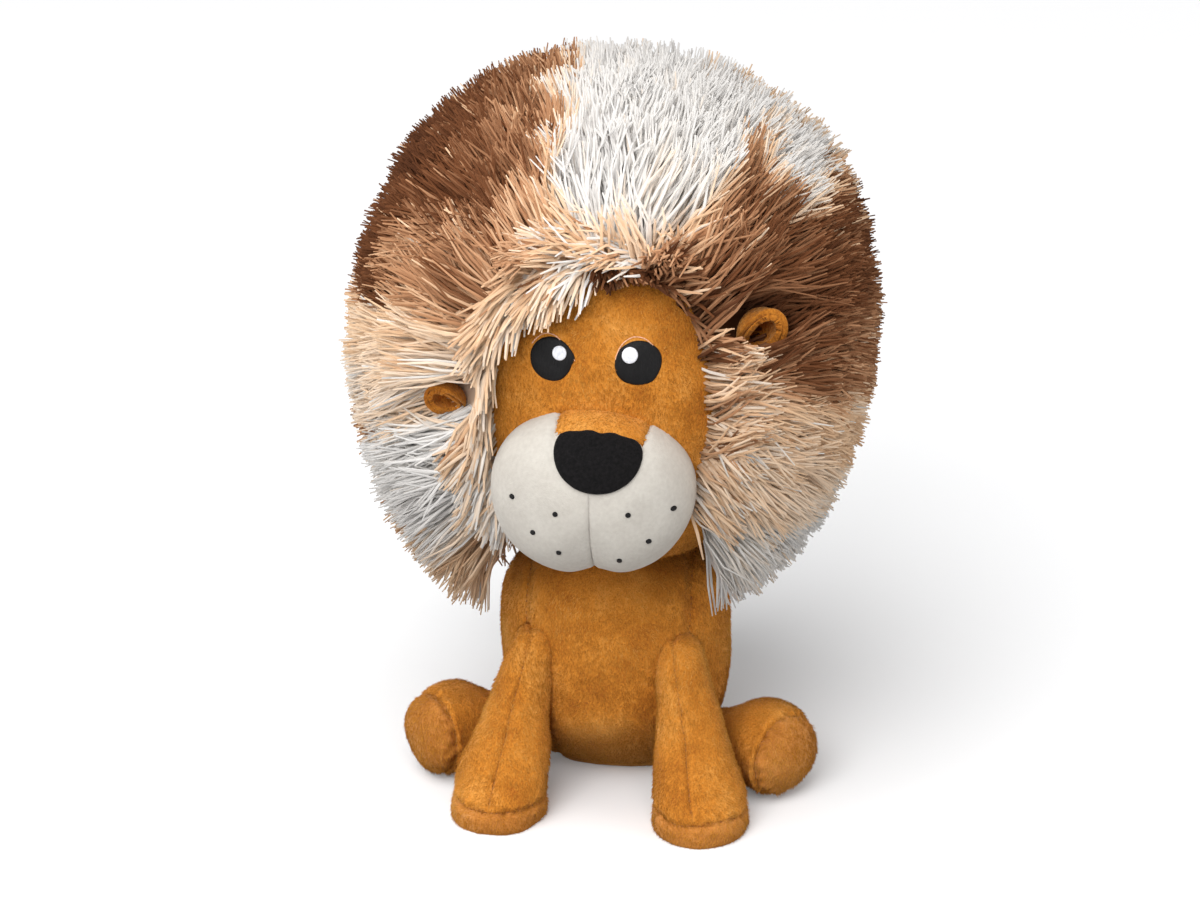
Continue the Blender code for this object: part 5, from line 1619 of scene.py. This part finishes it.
# %% Tail tuft
TUFT_STRANDS = 1500
TUFT_PLACE = np.array([-10, 84, 9.5]) * MM
random = np.random.default_rng(161)
ways = unit(random.normal(size=(TUFT_STRANDS, 3)))
ways[:, 1] = np.abs(ways[:, 1]) * 0.9 - 0.25
ways = unit(ways)
end = unit(ways * np.array([0.8, 0.5, 0.8]) + np.array([0, 0.9, -0.1]))
length = random.uniform(15, 23, TUFT_STRANDS) * MM
curve = grown(TUFT_PLACE + ways * np.array([5.0, 7.0, 5.0]) * MM, ways, end, length)
curve[:, :, 2] = np.maximum(curve[:, :, 2], 0.8 * MM + random.uniform(0, 3, (TUFT_STRANDS, 1)) * MM)
tones = np.clip(random.normal(0.26, 0.06, TUFT_STRANDS), 0.05, 0.6)
radii = random.uniform(0.6, 0.95, TUFT_STRANDS) * MM
tuft = strand_mesh("tail_tuft_pile", curve, tones, radii, ways, 162, fur_material)
place_piece(tuft, "tail", "brown_fur", "tail_tuft")
print(TUFT_STRANDS, "strands in the tuft")

# %% [markdown]
# The short pile of the plush is real as well: a blade of three sides for every few hairs, lying down the
# way the cloth was stroked. It breaks the light at every edge, which a smooth surface can't. The blades' tone
# follows large soft patches and a finer mottling; the large patches are painted sheen of the stroked nap,
# lighter and darker as it would catch the light. Each blade is darker at its root, which is painted shade at
# the base of the pile. None grows over an eye, or behind the fur.

# %% Short pile
PILE_LENGTH = 1.7 * MM
PILE_RADIUS = 0.15 * MM
EYE_CLEARANCE = 9.0 * MM
EYE_RAISED = 0.8
# Blade colours from root to tip: the darker roots are painted shade at the base of the pile.
PILE_ROOTS_WITH_SHADE = ((0.0, (118, 66, 16)), (0.5, (150, 90, 26)), (1.0, (178, 114, 46)))
PILE_TIPS = ((0.0, (166, 99, 32)), (0.35, (196, 125, 46)), (0.65, (213, 145, 60)), (1.0, (236, 178, 98)))
pile_fur = fur_finish("plush_pile", PILE_ROOTS_WITH_SHADE, PILE_TIPS)
blade = shape_of(
    added(bpy.ops.mesh.primitive_cone_add, "blade_shape", vertices=3, radius1=1, radius2=0, depth=1)
)


def short_pile(body, grown_on, count, seed, name=None):
    """This many blades, spread evenly over the skins of these covers."""
    random = np.random.default_rng(seed)
    corners, normals = (np.concatenate(part) for part in zip(*(skins[cover] for cover in grown_on)))
    area = np.linalg.norm(np.cross(corners[:, 1] - corners[:, 0], corners[:, 2] - corners[:, 0]), axis=1)
    if body == "head":
        area = area * (normals[:, :, 1].mean(axis=1) < 0)
    chosen = random.choice(len(area), count, p=area / area.sum())
    first, second = random.random((2, count))
    over = first + second > 1
    first = np.where(over, 1 - first, first)
    second = np.where(over, 1 - second, second)
    weights = np.stack([1 - first - second, first, second], axis=1)[:, :, None]
    roots = (corners[chosen] * weights).sum(axis=1)
    outwards = unit((normals[chosen] * weights).sum(axis=1))
    if body == "head":
        clear = np.ones(count, dtype=bool)
        for (x, z), _ in EYES.values():
            clear &= np.hypot(roots[:, 0] - x * MM, roots[:, 2] - (z + EYE_RAISED) * MM) > EYE_CLEARANCE
        roots = roots[clear]
        outwards = outwards[clear]
        count = len(roots)
    way = np.array([0, -0.1, -1.0]) + wander_ways(roots, 28 * MM, seed) * 0.8
    way = way + random.normal(size=(count, 3)) * 0.35
    way = unit(way - outwards * (way * outwards).sum(axis=1)[:, None])
    length = PILE_LENGTH * random.uniform(0.7, 1.2, count)[:, None]
    rise = random.uniform(0.25, 0.6, count)[:, None]
    tips = roots + (way + outwards * rise) * length
    tips[:, 2] = np.maximum(tips[:, 2], 0.1 * MM)
    curve = np.stack([roots - outwards * 0.2 * MM, tips], axis=1)
    # Large soft patches of lighter and darker blades are painted sheen of the stroked nap; the finer mottling
    # and each blade's spread go on top.
    tone = 0.5 + wander(roots, 34 * MM, seed + 4) * 0.20 + wander(roots, 8 * MM, seed + 5) * 0.10
    tone = np.clip(tone + random.normal(size=count) * 0.12, 0.03, 0.97)
    radii = PILE_RADIUS * random.uniform(0.7, 1.3, count)
    pile = strand_mesh(name or body + "_pile", curve, tone, radii, outwards, seed, pile_fur, 0.8, blade)
    place_piece(pile, body, "tan_plush")


short_pile("torso", ["body_front_cover", "body_left_cover", "body_right_cover"], 46000, 201)
short_pile("head", ["face_cover", "nose_bridge_cover"], 18000, 202, "face_pile")
short_pile("tail", ["tail_sleeve"], 4000, 203)
for index, side in enumerate(SIDES):
    leg = f"front_leg_{side}"
    short_pile(leg, [leg + "_outer_cover", leg + "_inner_cover", leg + "_sole_cover"], 16000, 204 + index)
    leg = f"hind_leg_{side}"
    short_pile(leg, [leg + "_sleeve", leg + "_sole_cover"], 13000, 206 + index)
print("short pile on the torso, the face, the tail and four legs")
